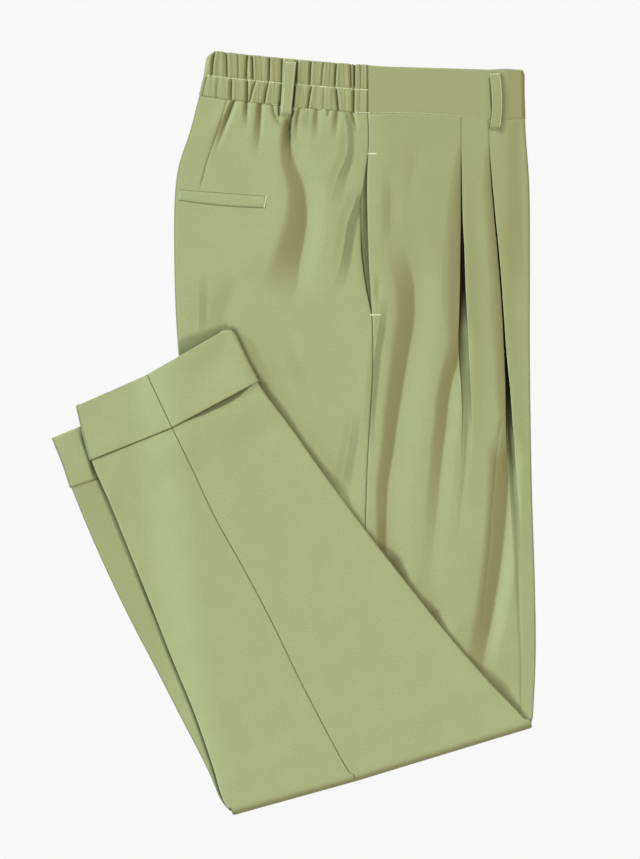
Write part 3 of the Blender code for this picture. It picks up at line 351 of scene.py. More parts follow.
def bell(away, width):
    """1 at 0, and on both sides the exponential of minus the square of away over width."""
    return np.exp(-((away / width) ** 2))


def edges(row):
    """The left and right ends of each section on the page."""
    return [np.stack((row[side + "_x"], row[side + "_y"]), axis=1) for side in ("left", "right")]


def unit(steps):
    """Steps made one long, and their lengths."""
    length = np.linalg.norm(steps, axis=-1, keepdims=True)
    return steps / length, length


def run_along(line):
    """Length run up to each point of a polyline."""
    return np.concatenate(((0.0,), np.cumsum(np.linalg.norm(np.diff(line, axis=0), axis=1))))


def between(first, last, count):
    """Even places between two columns, without the two."""
    return first + (last - first) * np.linspace(0.0, 1.0, count)[1:-1]


def even_stations(columns, rows, first, last, spacing):
    """Fractional row numbers that lie evenly along the middle of the sections."""
    fine = np.linspace(first, last, 500)
    left, right = edges(sections(columns, rows, fine))
    run = run_along((left + right) / 2.0)
    return np.interp(np.linspace(0.0, run[-1], int(run[-1] / spacing) + 1), run, fine)


def smooth_line(points, per_span=5):
    """A polyline on the same cubic curves through a few points."""
    stations = np.linspace(0.0, len(points) - 1.0, (len(points) - 1) * per_span + 1)
    row = sections(("x", "y"), points, stations)
    return np.stack((row["x"], row["y"]), axis=1)


def beside(x, y, line):
    """Signed distance from a polyline, positive on its left as it runs, and the share of its length
    at the nearest place."""
    shape = x.shape
    x, y = x.ravel(), y.ravel()
    best = np.full(x.shape, 1e9)
    side = np.ones(x.shape)
    reached = np.zeros(x.shape)
    start, step = line[:-1], np.diff(line, axis=0)
    length = np.hypot(step[:, 0], step[:, 1])
    run = np.concatenate(((0.0,), np.cumsum(length)))
    for i in range(len(step)):
        dx, dy = x - start[i, 0], y - start[i, 1]
        along = np.clip((dx * step[i, 0] + dy * step[i, 1]) / length[i] ** 2, 0.0, 1.0)
        away_x, away_y = dx - along * step[i, 0], dy - along * step[i, 1]
        distance = np.hypot(away_x, away_y)
        nearer = distance < best
        best = np.where(nearer, distance, best)
        turn = step[i, 0] * away_y - step[i, 1] * away_x
        side = np.where(nearer, np.where(turn < 0.0, -1.0, 1.0), side)
        reached = np.where(nearer, run[i] + along * length[i], reached)
    return (side * best).reshape(shape), (reached / run[-1]).reshape(shape)


# Heights of the cloth


def uncovered(x, y):
    """1 where the upper part lies free, and a bell's fall to 0 under the folded leg."""
    return bell(np.maximum(beside(x, y, LEG_RIM)[0], 0.0), RIM_FADE)


def fold_relief(x, y, folds, steepest):
    """Height that folds add, with masks of painted shade: browner on flanks that face right, away from the
    window, darker and neutral on flanks that face left, and near black along the sharp lines. A flank
    falls from the crest to the crisp line, a little steeper towards it and never by more than the steepest
    slope over its width. The gentle side is a cubic back to rest, and the crest a bell on the flank's far
    side."""
    height, olive, grey, gap = np.zeros((4, *x.shape))
    for values in folds:
        fold = dict(zip(FOLD_NAMES, values))
        away, along = beside(x, y, smooth_line(fold["line"]))
        away = away * fold["side"]
        flank_width = fold["flank"] + (fold["foot"] - fold["flank"]) * along
        ends = smoothstep(along / fold["fade_in"]) * smoothstep((1.0 - along) / fold["fade_out"])
        fall = fold["crest"] + fold["depth"]
        held = np.minimum(1.0, steepest * flank_width / fall)
        crest, depth = fold["crest"] * held, fold["depth"] * held
        up = np.clip(-away / flank_width, 0.0, 1.0)
        flank = -depth + (crest + depth) * (1.0 - (1.0 - up) ** FLANK_POWER)
        behind = crest * bell(np.maximum(-away / flank_width - 1.0, 0.0), 1.4)
        gentle = -depth * (1.0 - smoothstep(away / fold["rise"]))
        height += np.where(away > 0.0, gentle, np.where(up < 1.0, flank, behind)) * ends
        # Painted shade over the flank, fading towards its crest, and a near-black painted line along the
        # crease.
        tone = (1.0 - smoothstep((away + 0.2) / 0.9)) * smoothstep((1.04 - up) / 0.4) * ends * fold["tone"]
        if fold["side"] > 0:
            olive = np.maximum(olive, tone)
        else:
            grey = np.maximum(grey, tone)
        gap = np.maximum(gap, fold["dark"] * bell(away, LINE_WIDTH) * ends)
    return height, olive, grey, gap


def pleat_shape(rows, y):
    """The pleat's sizes at heights on the page, as cubic curves down its table."""
    table = np.array(rows)
    stations = np.interp(-y, -table[:, 0], np.arange(len(table)))
    shape = sections(PLEAT_COLUMNS, rows, stations)
    return {name: values[:, None] for name, values in shape.items()}


def left_of_pleat(x, shape):
    """Height on the left of a pleat, a power's fall to the gap, and how steep it is from 0 to 1."""
    up = np.clip((shape["left_x"] - x) / shape["roll"], 0.0, 1.0)
    height = -shape["shoulder"] * (1.0 - up) ** 1.25
    return height, smoothstep((1.1 - up) / 0.8) * smoothstep(shape["shoulder"] / 2.6)


def right_of_pleat(x, shape):
    """Height on the right of a pleat: the lip's height, falling back to rest as a bell."""
    return shape["lip"] * bell(np.maximum(x - shape["right_x"], 0.0), LIP_SETTLE)


def uneven(x, y, rows):
    """Sum of long soft mounds: a bell in two directions, turned on the page."""
    height = np.zeros_like(x)
    for values in rows:
        mound = dict(zip(LEG_UNEVEN_NAMES, values))
        turn = np.radians(mound["turn"])
        dx, dy = x - mound["x"], y - mound["y"]
        along = (dx * np.cos(turn) + dy * np.sin(turn)) / mound["along"]
        across = (-dx * np.sin(turn) + dy * np.cos(turn)) / mound["across"]
        height += mound["height"] * np.exp(-(along**2) - across**2)
    return height


def ripple(x, y, size):
    """Slight waviness of lying cloth: three crossed sines of unlike pitch."""
    return size * (
        np.sin(x / 17.0 + 0.9 * np.sin(y / 41.0))
        + 0.7 * np.sin(y / 23.0 + x / 37.0 + 1.3)
        + 0.5 * np.sin(x / 9.0 - y / 29.0 + 0.4)
    ) / 2.2


def back_edge_x(y):
    """Place across of the upper part's folded back edge at y."""
    row = sections(UPPER_COLUMNS, UPPER_SECTIONS, np.linspace(0.0, 8.0, 41))
    return np.interp(y, row["left_y"][::-1], row["left_x"][::-1])


def leg_under(x, y):
    """Underside of the folded leg: on the upper part, and down to the floor beside its back edge."""
    outside = (back_edge_x(y) - x) / DROP_WIDTH
    return (LEG_REST + RIM_LIFT * uncovered(x, y)) * (1.0 - smoothstep(outside))


def right_leg_top(x, y):
    """Top of the right leg, folded up, with its turn-up's rise along the leg."""
    along = LEG_AXIS[0] * x + LEG_AXIS[1] * y
    rise = smoothstep((along - RIGHT_CUFF_START) / (RIGHT_CUFF_FULL - RIGHT_CUFF_START))
    return leg_under(x, y) + RIGHT_LEG_STACK + RIGHT_CUFF_RISE * rise


def leg_top(x, y):
    """Top of the left leg, on the right one."""
    return right_leg_top(x, y) + LEFT_LEG_STACK


# Meshes


def lengths(grid, axis):
    """Length run along the grid in one direction, from its first line."""
    step = np.linalg.norm(np.diff(grid, axis=axis), axis=-1)
    run = np.cumsum(step, axis=axis)
    start = np.zeros_like(run[:1] if axis == 0 else run[:, :1])
    return np.concatenate((start, run), axis=axis)


def grid_faces(rows, cols, closed=False):
    """Quads of a grid of points, joined into a tube where it is closed across."""
    across = np.arange(cols if closed else cols - 1)
    a = np.arange(rows - 1)[:, None] * cols + across
    b = np.arange(rows - 1)[:, None] * cols + (across + 1) % cols
    return np.stack((a, b, b + cols, a + cols), axis=-1).reshape(-1, 4)


def put(name, data):
    """An object of the data, linked to the scene at the origin."""
    made = bpy.data.objects.new(name, data)
    bpy.context.scene.collection.objects.link(made)
    return made


def build_mesh(name, points, faces, uv=None, masks=None):
    """A mesh in metres from points in table millimetres, with the named masks on its points."""
    mesh = bpy.data.meshes.new(name)
    mesh.from_pydata(((points - OUTLINE_MIDDLE) * MM).tolist(), [], faces.tolist())
    if uv is not None:
        layer = mesh.uv_layers.new(name="UVMap")
        layer.data.foreach_set("uv", uv[faces.ravel()].astype(np.float32).ravel())
    for mask, values in (masks or {}).items():
        attribute = mesh.attributes.new(mask, "FLOAT", "POINT")
        attribute.data.foreach_set("value", values.astype(np.float32).ravel())
    mesh.shade_smooth()
    mesh.update()
    return put(name, mesh)


def outward(grid, sample, towards):
    """Whether the grid's faces, as grid_faces turns them, point along towards at the sample place."""
    i, j = sample
    across = grid[i, j + 1] - grid[i, j]
    down = grid[i + 1, j] - grid[i, j]
    return np.dot(np.cross(across, down), towards) > 0.0


UP, DOWN = (0.0, 0.0, 1.0), (0.0, 0.0, -1.0)


def cloth(name, grid, nodes, material, sample, towards=UP, wall=CLOTH, masks=None,
          closed=False):
    """A piece of cloth on a grid of points, its rows down the piece. The UV map holds the lengths
    along the cloth in millimetres, and Solidify gives it a wall on its inner side."""
    rows, cols = grid.shape[:2]
    faces = grid_faces(rows, cols, closed)
    if not outward(grid, sample, towards):
        faces = faces[:, ::-1]
    uv = np.stack((lengths(grid, 1), lengths(grid, 0)), axis=-1).reshape(-1, 2)
    piece = build_mesh(name, grid.reshape(-1, 3), faces, uv, masks)
    piece.data.materials.append(material)
    if wall:
        solid = piece.modifiers.new("wall", "SOLIDIFY")
        solid.thickness = wall * MM
        solid.offset = -1.0
        solid.use_rim = True
    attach(piece, "root")
    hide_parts(*nodes)
    return piece


# The first three masks are painted shade: browner where the cloth faces away from the window, darker and
# neutral elsewhere in shade, and near black in gaps, creases and between layers. The last is the seam lines
# and also carries painted shadow beside the leg, under the turn-up and at the pocket's mouth.
MASKS = ("olive", "grey", "gap", "seam")


def masks_on(shape, **given):
    """The cloth's masks on a grid of points: those given, and zero for the others."""
    return {name: given.get(name, 0.0) + np.zeros(shape) for name in MASKS}


def seam_dip(away, deep=0.35, wide=0.8):
    """Depth of the groove along a seam: a bell across it."""
    return deep * bell(away, wide)


def half_turn(count=9):
    """Angles of a folded edge, from the top of the cloth round to its underside."""
    return np.linspace(0.0, np.pi, count)


# Upper part

RIM_WAVE = (  # how far the cloth rises beside the folded leg, at places across
    (-60, 0.3), (-42, 0.6), (-20, 1.4), (10, 2.4), (28, 1.9), (42, 0.4), (54, 2.6), (67, 3.6), (76, 2.2),
    (90, -0.6), (104, 2.2), (116, 1.4), (128, 0.2), (141, 3), (158, 3), (174, 1), (186, 0), (200, 1.2),
    (213, 2.6),
)
RIM_REACH = 13.0
RIM_SHADE = (  # where the cloth lies in the leg's shade: place across, reach of the shade, depth of tone
    (-104, 15, 1), (-84, 11, 1), (-70, 6, 0.95), (-61, 3, 0.9), (-54, 1.8, 0.85), (-38.7, 1.7, 0.85),
    (-31.5, 2.1, 0.85), (-27.9, 3.8, 0.75), (-24.3, 2.5, 0.75), (-16, 3.4, 0.62), (-9, 4, 0.58),
    (-0.9, 3.2, 0.6), (6.3, 2.2, 0.65), (15.3, 3, 0.6), (24.3, 3, 0.6), (33, 5, 0.45), (42.3, 6.5, 0.3),
    (47, 3, 0.4), (51.3, 1.3, 0.6), (66.6, 1, 0.6), (75.6, 2.7, 0.45), (83, 5.5, 0.6), (89.1, 7, 0.8),
    (97, 4.6, 0.8), (103.5, 2.6, 0.7), (112, 2.4, 0.6), (119, 4.4, 0.6), (126, 5.2, 0.72), (132, 3, 0.7),
    (138.6, 1.3, 0.6), (156.6, 1.3, 0.55), (165, 2.6, 0.5), (174.6, 5.8, 0.5), (186.3, 6.2, 0.55),
    (198, 3.4, 0.6), (213.3, 0.9, 0.5),
)
CUFF_CORNER = -57.0


def rim_place(share):
    """Place across at a share of the length of the folded leg's outline."""
    run = run_along(LEG_RIM)
    return np.interp(share * run[-1], run, LEG_RIM[:, 0])


def rim_shade(away, place):
    """Painted shadow beside the leg: even over its reach, darker next to the leg by a bell, with a soft end.
    """
    rows = np.array(RIM_SHADE).T
    reach = np.interp(place, rows[0], rows[1]) * np.where(place > CUFF_CORNER, 1.45, 1.0)
    tone = np.interp(place, rows[0], rows[2])
    deep = 0.72 + 0.28 * bell(away, 0.45 * reach)
    soft = np.maximum(0.5, 2.6 / reach)
    return tone * deep * (1.0 - smoothstep((away - 0.66 * reach) / (soft * reach)))


# Painted shadow beside the belt loops and along a crease and a gather near the back loop.
LOOP_SHADOWS = (  # dark gaps beside the belt loops: line, half width at its two ends, depth of tone, fade
    (((176.7, 320), (178, 305), (179, 291), (178.6, 284), (177.5, 275)), 0.35, 0.95, 0.95, 0),
    (((3.4, 330), (1.6, 314), (0.2, 298), (-1, 288)), 0.3, 1.1, 0.95, 0),
    (((187.6, 322), (189, 305), (189, 290), (187.6, 272)), 2.4, 2.4, 0.3, 0),
    (((0.4, 290), (-1.4, 285), (-3, 279), (-3.2, 265.5), (-2.8, 252), (-2.6, 238)), 1.1, 0.7, 0.95, 1),
    (((-12.6, 299), (-12.8, 286)), 0.5, 0.8, 0.9, 0),
)


def loop_shadow(x, y):
    """Painted shadow in the gaps beside the belt loops: bells across lines that widen towards their foot."""
    tone = np.zeros_like(x)
    for line, first, last, dark, fade in LOOP_SHADOWS:
        away, share = beside(x, y, np.array(line))
        dark = dark * (1.0 - fade * smoothstep((share - 0.4) / 0.6))
        tone = np.maximum(tone, dark * bell(away, first + (last - first) * share))
    return tone


def waist_stray(x):
    """How far the waist seam strays from its even bow at x."""
    return np.interp(x, *np.array(WAIST_LINE).T)


def at_waist_line(x, y, row):
    """The places' y moved with the waist seam, less and less down to WAIST_FADE below it."""
    below = section_y(row, x)[:1] - y
    return y + waist_stray(x) * (1.0 - smoothstep(below / WAIST_FADE))


def upper_cloth(x, y):
    """Height of the upper part without its pleats, and its masks. A browner painted shade lies over the
    front, stronger towards the waist and strongest along its edge beyond the pleats, and painted shadow
    lies beside the folded leg."""
    folds, olive, grey, gap = fold_relief(x, y, UPPER_FOLDS, STEEPEST_FOLD)
    gathers, gather_olive_shade, gather_grey_shade, gather_gap = fold_relief(x, y, WAIST_GATHERS, STEEPEST_GATHER)
    free = uncovered(x, y)
    inside, share = beside(x, y, LEG_RIM)
    place = rim_place(share)
    from_leg = np.maximum(-inside, 0.0)
    wave = np.interp(place, *np.array(RIM_WAVE).T) * bell(from_leg, RIM_REACH)
    height = UPPER_REST + (folds + gathers) * free + wave * free + ripple(x, y, 0.12)
    shaded = rim_shade(from_leg, place)
    on_front = smoothstep((x - 68.0) / 25.0)
    on_edge = smoothstep((x - 189.0) / 10.0) * smoothstep((y - 110.0) / 70.0)
    warm_shade = on_front * (0.1 + 0.2 * smoothstep((y - 20.0) / 90.0)) + 0.4 * on_edge
    # Painted shade: the folds' masks where the cloth lies free, the browner painted shade over the front,
    # painted shadow beside the cuff's far edge in the darker neutral mask and beside the rest of the leg in
    # the seam mask, and painted shadow beside the belt loops.
    masks = {
        "olive": np.maximum(np.maximum(olive, gather_olive_shade) * free, warm_shade),
        "grey": np.maximum(np.maximum(grey, gather_grey_shade) * free, shaded * (place < CUFF_CORNER)),
        "gap": np.maximum(np.maximum(gap, gather_gap) * free, loop_shadow(x, y)),
        "seam": shaded * (place >= CUFF_CORNER),
    }
    return height, masks


def upper_rows():
    """Section stations: closer below the waist seam, then even, and the knee fold as the last."""
    stations = even_stations(UPPER_COLUMNS, UPPER_SECTIONS, 0.0, 7.75, 2.5)
    first = np.linspace(0.0, stations[4], 12)[:-1]
    return np.concatenate((first, stations[4:], (8.0,)))


def place_rows(row, x):
    """Page places of columns at each section. The last section is moved inside the knee fold."""
    y = section_y(row, x)
    inwards = fold_inwards() * KNEE_END
    x[-1] += inwards[0]
    y[-1] += inwards[1]
    return x, y


def tucked(grid, masks, reach=4.0, drop=1.3):
    """The grid with two more rows at the waist, so that the cloth runs on under the band."""
    edge = grid[:1] + np.array((0.0, 0.5, -0.6 * drop))
    under = grid[:1] + np.array((0.0, reach, -drop))
    masks = {name: np.concatenate((values[:1], values[:1], values)) for name, values in masks.items()}
    return np.concatenate((under, edge, grid)), masks


def make_right_back(material):
    """The right back from its folded edge over the dart to the pocket's mouth. The dart, the seam and
    the line below the waist are grooves, each a bell across it."""
    row = sections(UPPER_COLUMNS, UPPER_SECTIONS, upper_rows())
    row_y = section_y(row, row["side_x"][:, None])[:, 0]
    mouth = np.array(POCKET_MOUTH).T
    open_by = np.interp(row_y, mouth[0], mouth[1])[:, None]
    sag = np.interp(row_y, mouth[0], mouth[2])[:, None]
    seam = row["side_x"][:, None] - HALF_SEAM + open_by
    left = row["left_x"][:, None] + EDGE_TURN
    dart = row["dart_x"][:, None]
    turn = half_turn()[::-1]
    near_dart = np.array((-1.7, -0.9, -0.4, 0.0, 0.4, 0.9, 1.7))
    near_seam = np.array((4.2, 2.8, 1.8, 1.1, 0.6, 0.3, 0.0))
    x = np.concatenate((
        left + EDGE_RETURN,
        left - EDGE_TURN * np.sin(turn),
        between(left, dart + near_dart[0], 16),
        dart + near_dart,
        between(dart + near_dart[-1], seam - near_seam[0], 116),
        seam - near_seam,
    ), axis=1)
    lift = np.zeros(x.shape[1])
    lift[0] = 2.0 * EDGE_TURN
    lift[1:1 + len(turn)] = EDGE_TURN * (1.0 - np.cos(turn))
    x, y = place_rows(row, x)
    y = at_waist_line(x, y, row)
    z, masks = upper_cloth(np.maximum(x, left), y)
    dart_away, along = beside(x, y, smooth_line(DART))
    stitched = smoothstep((1.0 - along) / 0.1)
    to_seam = np.maximum(seam - x, 0.0)
    z = z - lift - seam_dip(dart_away, 0.5, 0.9) * stitched
    z = z - seam_dip(to_seam) - sag * bell(to_seam, 3.0)
    z = z - seam_dip(y[:1] - y, 0.5, 1.5) * (lift < 0.1)
    dart_tone = 0.55 * bell(dart_away, 0.5) * stitched
    # The seam line at the pocket's mouth, darker with painted shade where the mouth opens.
    mouth_tone = (0.35 + 0.5 * smoothstep(-open_by / 1.5)) * bell(to_seam, 0.45)
    masks["seam"] = np.maximum(masks["seam"], np.maximum(dart_tone, mouth_tone))
    # Painted shade on the folded edge, which faces the window.
    masks["grey"] = np.maximum(masks["grey"], EDGE_SHADE * (lift > 0.0))
    grid, masks = tucked(np.dstack((x, y, z)), masks)
    return cloth("right_back_cloth", grid, ["right_back"], material, (40, 60), masks=masks)


def pleat_columns(shape):
    """Places through a pleat from its left side: along the gap's floor, on under the fold edge, back,
    and round the edge's nose. Where the layers lie open they spread evenly over the step instead.
    Returns the places, how folded each row is, and the height of each column over the floor (0), the
    return's underside (1) or the nose (1 to 2)."""
    nose = np.minimum(0.7, 0.12 * (shape["depth"] + shape["lip"]) + 0.05)
    left, edge = shape["left_x"], shape["right_x"]
    reach = edge + nose + shape["under"]
    angle = np.radians((-90.0, -60.0, -30.0, 0.0, 30.0, 60.0, 90.0))
    folded = np.concatenate((
        left + (edge - left) * np.array((0.0, 0.12, 0.35, 0.6, 0.82, 1.0)),
        edge + (reach - edge) * np.array((0.3, 0.65, 1.0)),
        reach + 0.3,
        edge + nose + shape["under"] * np.array((1.0, 0.6, 0.3)),
        edge + nose - nose * np.cos(angle),
    ), axis=1)
    level = np.concatenate((np.zeros(9), (0.5,), np.ones(3), 1.5 + 0.5 * np.sin(angle)))
    opened = left + (edge + 1.2 - left) * np.linspace(0.0, 1.0, len(level))
    weight = np.maximum(smoothstep(shape["under"] / 4.0), shape["y"] > SEWN_PLEAT)
    return weight * folded + (1.0 - weight) * opened, weight, level, nose


def pleat_heights(x, base, shape, weight, level, nose):
    """Heights of a pleat's columns over the cloth's own height, folded or as an open step."""
    floor = np.maximum(base - shape["depth"], LOWEST_CLOTH)
    top = base + right_of_pleat(x, shape)
    under = np.maximum(top - 2.0 * nose, floor + 0.1)
    folded = np.where(level < 1.0, floor + (under - floor) * level, under + 2.0 * nose * (level - 1.0))
    step = smoothstep((x - shape["left_x"]) / (shape["right_x"] + 1.2 - shape["left_x"]))
    dip = (shape["depth"] - shape["shoulder"]) * np.sin(np.pi * step) ** 2
    start = -shape["shoulder"] * (1.0 - step) - dip
    opened = np.maximum(base + start + shape["lip"] * step, LOWEST_CLOTH)
    return weight * folded + (1.0 - weight) * opened


def pleat_tones(x, shape, weight, level, darkest):
    """Painted shade in a pleat: a near-black painted shadow and a lighter neutral painted shade. Where the
    gap lies open they cover its floor, the painted shadow darkest about the darkest share of its width and
    less elsewhere as a bell. Hidden columns get the painted shadow only where the pleat is folded."""
    inside = np.where(level < 1.2, 1.0, smoothstep((1.75 - level) / 0.5))
    hidden = np.arange(len(level)) > 5
    shut = np.where(hidden, smoothstep((weight - 0.8) / 0.2), 1.0)
    across = np.clip((x - shape["left_x"]) / (shape["right_x"] - shape["left_x"]), 0.0, 1.0)
    near_edge = 1.0 - smoothstep((across - 0.55) / 0.45) * 0.35
    lit = np.minimum(1.3 * shape["grey"], 1.0) * (1.0 - bell(across - darkest, 0.33))
    return inside * shut * shape["dark"] * (1.0 - lit), inside * shape["grey"] * near_edge


def make_right_front(material):
    """The right front: from the side seam across both undercut pleats to the folded front edge."""
    row = sections(UPPER_COLUMNS, UPPER_SECTIONS, upper_rows())
    seam = row["side_x"][:, None] + HALF_SEAM
    seam_y = section_y(row, seam)
    right = row["right_x"][:, None] - EDGE_TURN
    shape_a = pleat_shape(PLEAT_A, seam_y[:, 0] - PLEAT_A_BELOW)
    shape_b = pleat_shape(PLEAT_B, seam_y[:, 0] - PLEAT_B_BELOW)
    end_a, end_b = shape_a["left_x"], shape_b["left_x"]
    closing = np.array((2.2, 1.2, 0.6, 0.2))
    start = seam + np.array((0.0, 0.3, 0.6, 1.1, 1.8, 2.8))
    profile_a, weight_a, level_a, nose_a = pleat_columns(shape_a)
    after_a = profile_a[:, -1:] + np.array((0.5, 1.2, 2.2))
    profile_b, weight_b, level_b, nose_b = pleat_columns(shape_b)
    after_b = profile_b[:, -1:] + np.array((0.4, 0.9, 1.5))
    last = after_b[:, -1:] + (right - after_b[:, -1:]) * np.linspace(0.0, 1.0, 14)[1:]
    turn = half_turn()[1:]
    blocks = (
        start,
        between(start[:, -1:], end_a - closing[0], 70),
        end_a - closing,
        profile_a,
        after_a,
        between(after_a[:, -1:], end_b - closing[0], 30),
        end_b - closing,
        profile_b,
        after_b,
        last,
        right + EDGE_TURN * np.sin(turn),
        right - EDGE_RETURN,
    )
    x = np.concatenate(blocks, axis=1)
    ends = np.cumsum([0] + [block.shape[1] for block in blocks])
    in_a, in_b = slice(ends[3], ends[4]), slice(ends[7], ends[8])
    x, y = place_rows(row, x)
    y = at_waist_line(x, y, row)
    base, masks = upper_cloth(np.minimum(x, right), y)
    free = uncovered(x, y)
    column = np.arange(x.shape[1])[None, :]
    left_of_a, right_of_a = column < ends[3], column >= ends[4]
    left_of_b, right_of_b = (column < ends[7]) & right_of_a, column >= ends[8]
    drop_a, steep_a = left_of_pleat(x, shape_a)
    drop_b, steep_b = left_of_pleat(x, shape_b)
    rise_a, rise_b = right_of_pleat(x, shape_a), right_of_pleat(x, shape_b)
    over = drop_a * left_of_a + rise_a * right_of_a + drop_b * left_of_b + rise_b * right_of_b
    z = base + over * free
    base_b = base[:, in_b] + rise_a[:, in_b]
    z[:, in_a] = pleat_heights(x[:, in_a], base[:, in_a], shape_a, weight_a, level_a, nose_a)
    z[:, in_b] = pleat_heights(x[:, in_b], base_b, shape_b, weight_b, level_b, nose_b)
    lift = np.zeros(x.shape[1])
    lift[ends[10]:ends[11]] = EDGE_TURN * (1.0 - np.cos(turn))
    lift[ends[11]:] = 2.0 * EDGE_TURN
    z = z - lift - seam_dip(x - seam)
    z = z - seam_dip(y[:1] - y, 0.2, 1.2) * (lift < 0.1)
    # Painted shadow in the pleats' gaps and lighter painted shade over their open floors.
    for span, shape, weight, level, darkest in (
        (in_a, shape_a, weight_a, level_a, 0.15), (in_b, shape_b, weight_b, level_b, 0.42),
    ):
        dark, grey = pleat_tones(x[:, span], shape, weight, level, darkest)
        masks["gap"][:, span] = np.maximum(masks["gap"][:, span], dark)
        masks["grey"][:, span] = np.maximum(masks["grey"][:, span], grey)
    # Painted browner shade where the cloth on the left of a pleat rolls down into it, away from the window.
    steep = np.maximum(steep_a * left_of_a, steep_b * left_of_b)
    masks["olive"] = np.maximum(masks["olive"], 0.8 * steep * free)
    lower = 1.0 - smoothstep((seam_y - 60.0) / 60.0)
    sewn = (0.3 + 0.35 * lower) * bell(x - seam, 0.45)
    masks["seam"] = np.maximum(masks["seam"], sewn)
    grid, masks = tucked(np.dstack((x, y, z)), masks)
    return cloth("right_front_cloth", grid, ["right_front"], material, (60, 30), wall=PLEATED_WALL,
                 masks=masks)


FACING_BELOW = 2.2


def make_facing(material):
    """The strip in the gap of the side pocket, a little below both panels and all in painted shade: a
    dark painted shadow beside the back's edge, lighter painted shade next to it and painted shadow again
    under the front's edge."""
    y = np.linspace(258.0, 100.0, 90)
    row = sections(UPPER_COLUMNS, UPPER_SECTIONS, np.linspace(0.0, 8.0, 81))
    seam_y = section_y(row, row["side_x"][:, None])[:, 0]
    front = np.interp(y, seam_y[::-1], row["side_x"][::-1])[:, None]
    mouth = np.array(POCKET_MOUTH).T
    back = front + np.interp(y, mouth[0], mouth[1])[:, None] - HALF_SEAM
    beyond = np.linspace(0.0, 6.0, 5)
    across = np.concatenate((beyond - 6.0, np.linspace(0.0, 1.0, 14)[1:], 1.0 + beyond[1:]))
    x = back + np.where(across < 0.0, across, (front - back) * across)
    x = np.where(across > 1.0, front + across - 1.0, x)
    y = np.repeat(y[:, None], x.shape[1], axis=1)
    from_back = np.maximum(x - back, 0.0)
    to_front = np.maximum(front - x, 0.0)
    z = upper_cloth(x, y)[0] - FACING_BELOW - 0.5 * bell(to_front, 3.0)
    lower = smoothstep((196.0 - y) / 30.0)
    dark_back = 0.95 * lower * bell(from_back, 1.1)
    dark_floor = 0.22 * smoothstep((from_back - 1.4) / 1.4)
    dark_front = 0.6 * (1.0 - lower) * bell(to_front, 2.2)
    masks = masks_on(
        x.shape,
        grey=0.7 + 0.3 * smoothstep((from_back - 1.2) / 1.2),
        gap=np.maximum(np.maximum(dark_back, dark_floor), dark_front),
    )
    return cloth("pocket_facing_cloth", np.dstack((x, y, z)), ["side_pocket_facing"], material, (5, 8),
                 masks=masks)


WELT_LEFT, WELT_LENGTH, WELT_DEPTH, WELT_RISE = -103.0, 78.5, 10.0, 1.15


def make_welt(material):
    """The back pocket's welt: a flat fold on the panel, its edges rolled down to it as bells. Its
    foot sags as a parabola."""
    near_end = np.array((0.0, 0.006, 0.014, 0.024))
    across = np.concatenate((near_end, np.linspace(0.04, 0.97, 50), (0.982, 0.99, 0.996, 1.0)))[:, None]
    down = np.array((0.0, 0.03, 0.07, 0.13, 0.22, 0.34, 0.5, 0.66, 0.78, 0.87, 0.93, 0.97, 1.0))
    x = WELT_LEFT + across * WELT_LENGTH + 0.0 * down
    top = 219.9 - across * 5.9
    bottom = 210.0 - across * 7.0 - 1.5 * 4.0 * across * (1.0 - across)
    y = top + (bottom - top) * down
    from_top, from_foot = down * WELT_DEPTH, (1.0 - down) * WELT_DEPTH
    from_end = np.minimum(across, 1.0 - across) * 78.0
    rim = np.minimum(np.minimum(from_top, from_foot), from_end)
    z = upper_cloth(x, y)[0] + WELT_RISE - bell(rim, 0.8)
    sewn = np.maximum(0.75 * bell(from_top, 0.5), 0.4 * bell(from_foot, 0.6))
    return cloth("back_welt_cloth", np.dstack((x, y, z)), ["back_welt"], material, (10, 5),
                 masks=masks_on(x.shape, seam=sewn))


# Waistband


def crease_wave(x, part, rows):
    """Puffs between sharp creases. part runs from 0 at the foot of a channel to 1 at its top, each
    crease leans from one place to the other and is an exponential notch in the puffed cloth, with a
    narrow roll as a bell on its right. Its masks are painted shade: dark along each crease, and browner
    beside it and past each roll, with a quarter of the browner shade all over."""
    height = np.zeros_like(x)
    dark, olive = np.zeros_like(x), np.zeros_like(x)
    nearest = np.full_like(x, 1e9)
    for values in rows:
        crease = dict(zip(CREASE_NAMES, values))
        away = x - (crease["foot"] + (crease["top"] - crease["foot"]) * part)
        strength = smoothstep(crease["depth"] / 1.6)
        nearest = np.minimum(nearest, np.abs(away) + 6.0 * (1.0 - strength))
        height -= crease["depth"] * np.exp(-(np.abs(away) / (0.65 * crease["width"])))
        height += crease["roll"] * bell(away - 1.9, 0.9)
        dark = np.maximum(dark, bell(away, 0.62 * crease["width"]) * strength)
        olive = np.maximum(olive, 2.4 * crease["roll"] * bell(away - 3.6, 1.3))
        olive = np.maximum(olive, strength * bell(away + 1.3, 1.1))
    height += BAND_PUFF * (1.0 - bell(nearest, 2.6))
    return height, dark, np.clip(olive + 0.25, 0.0, 1.0)


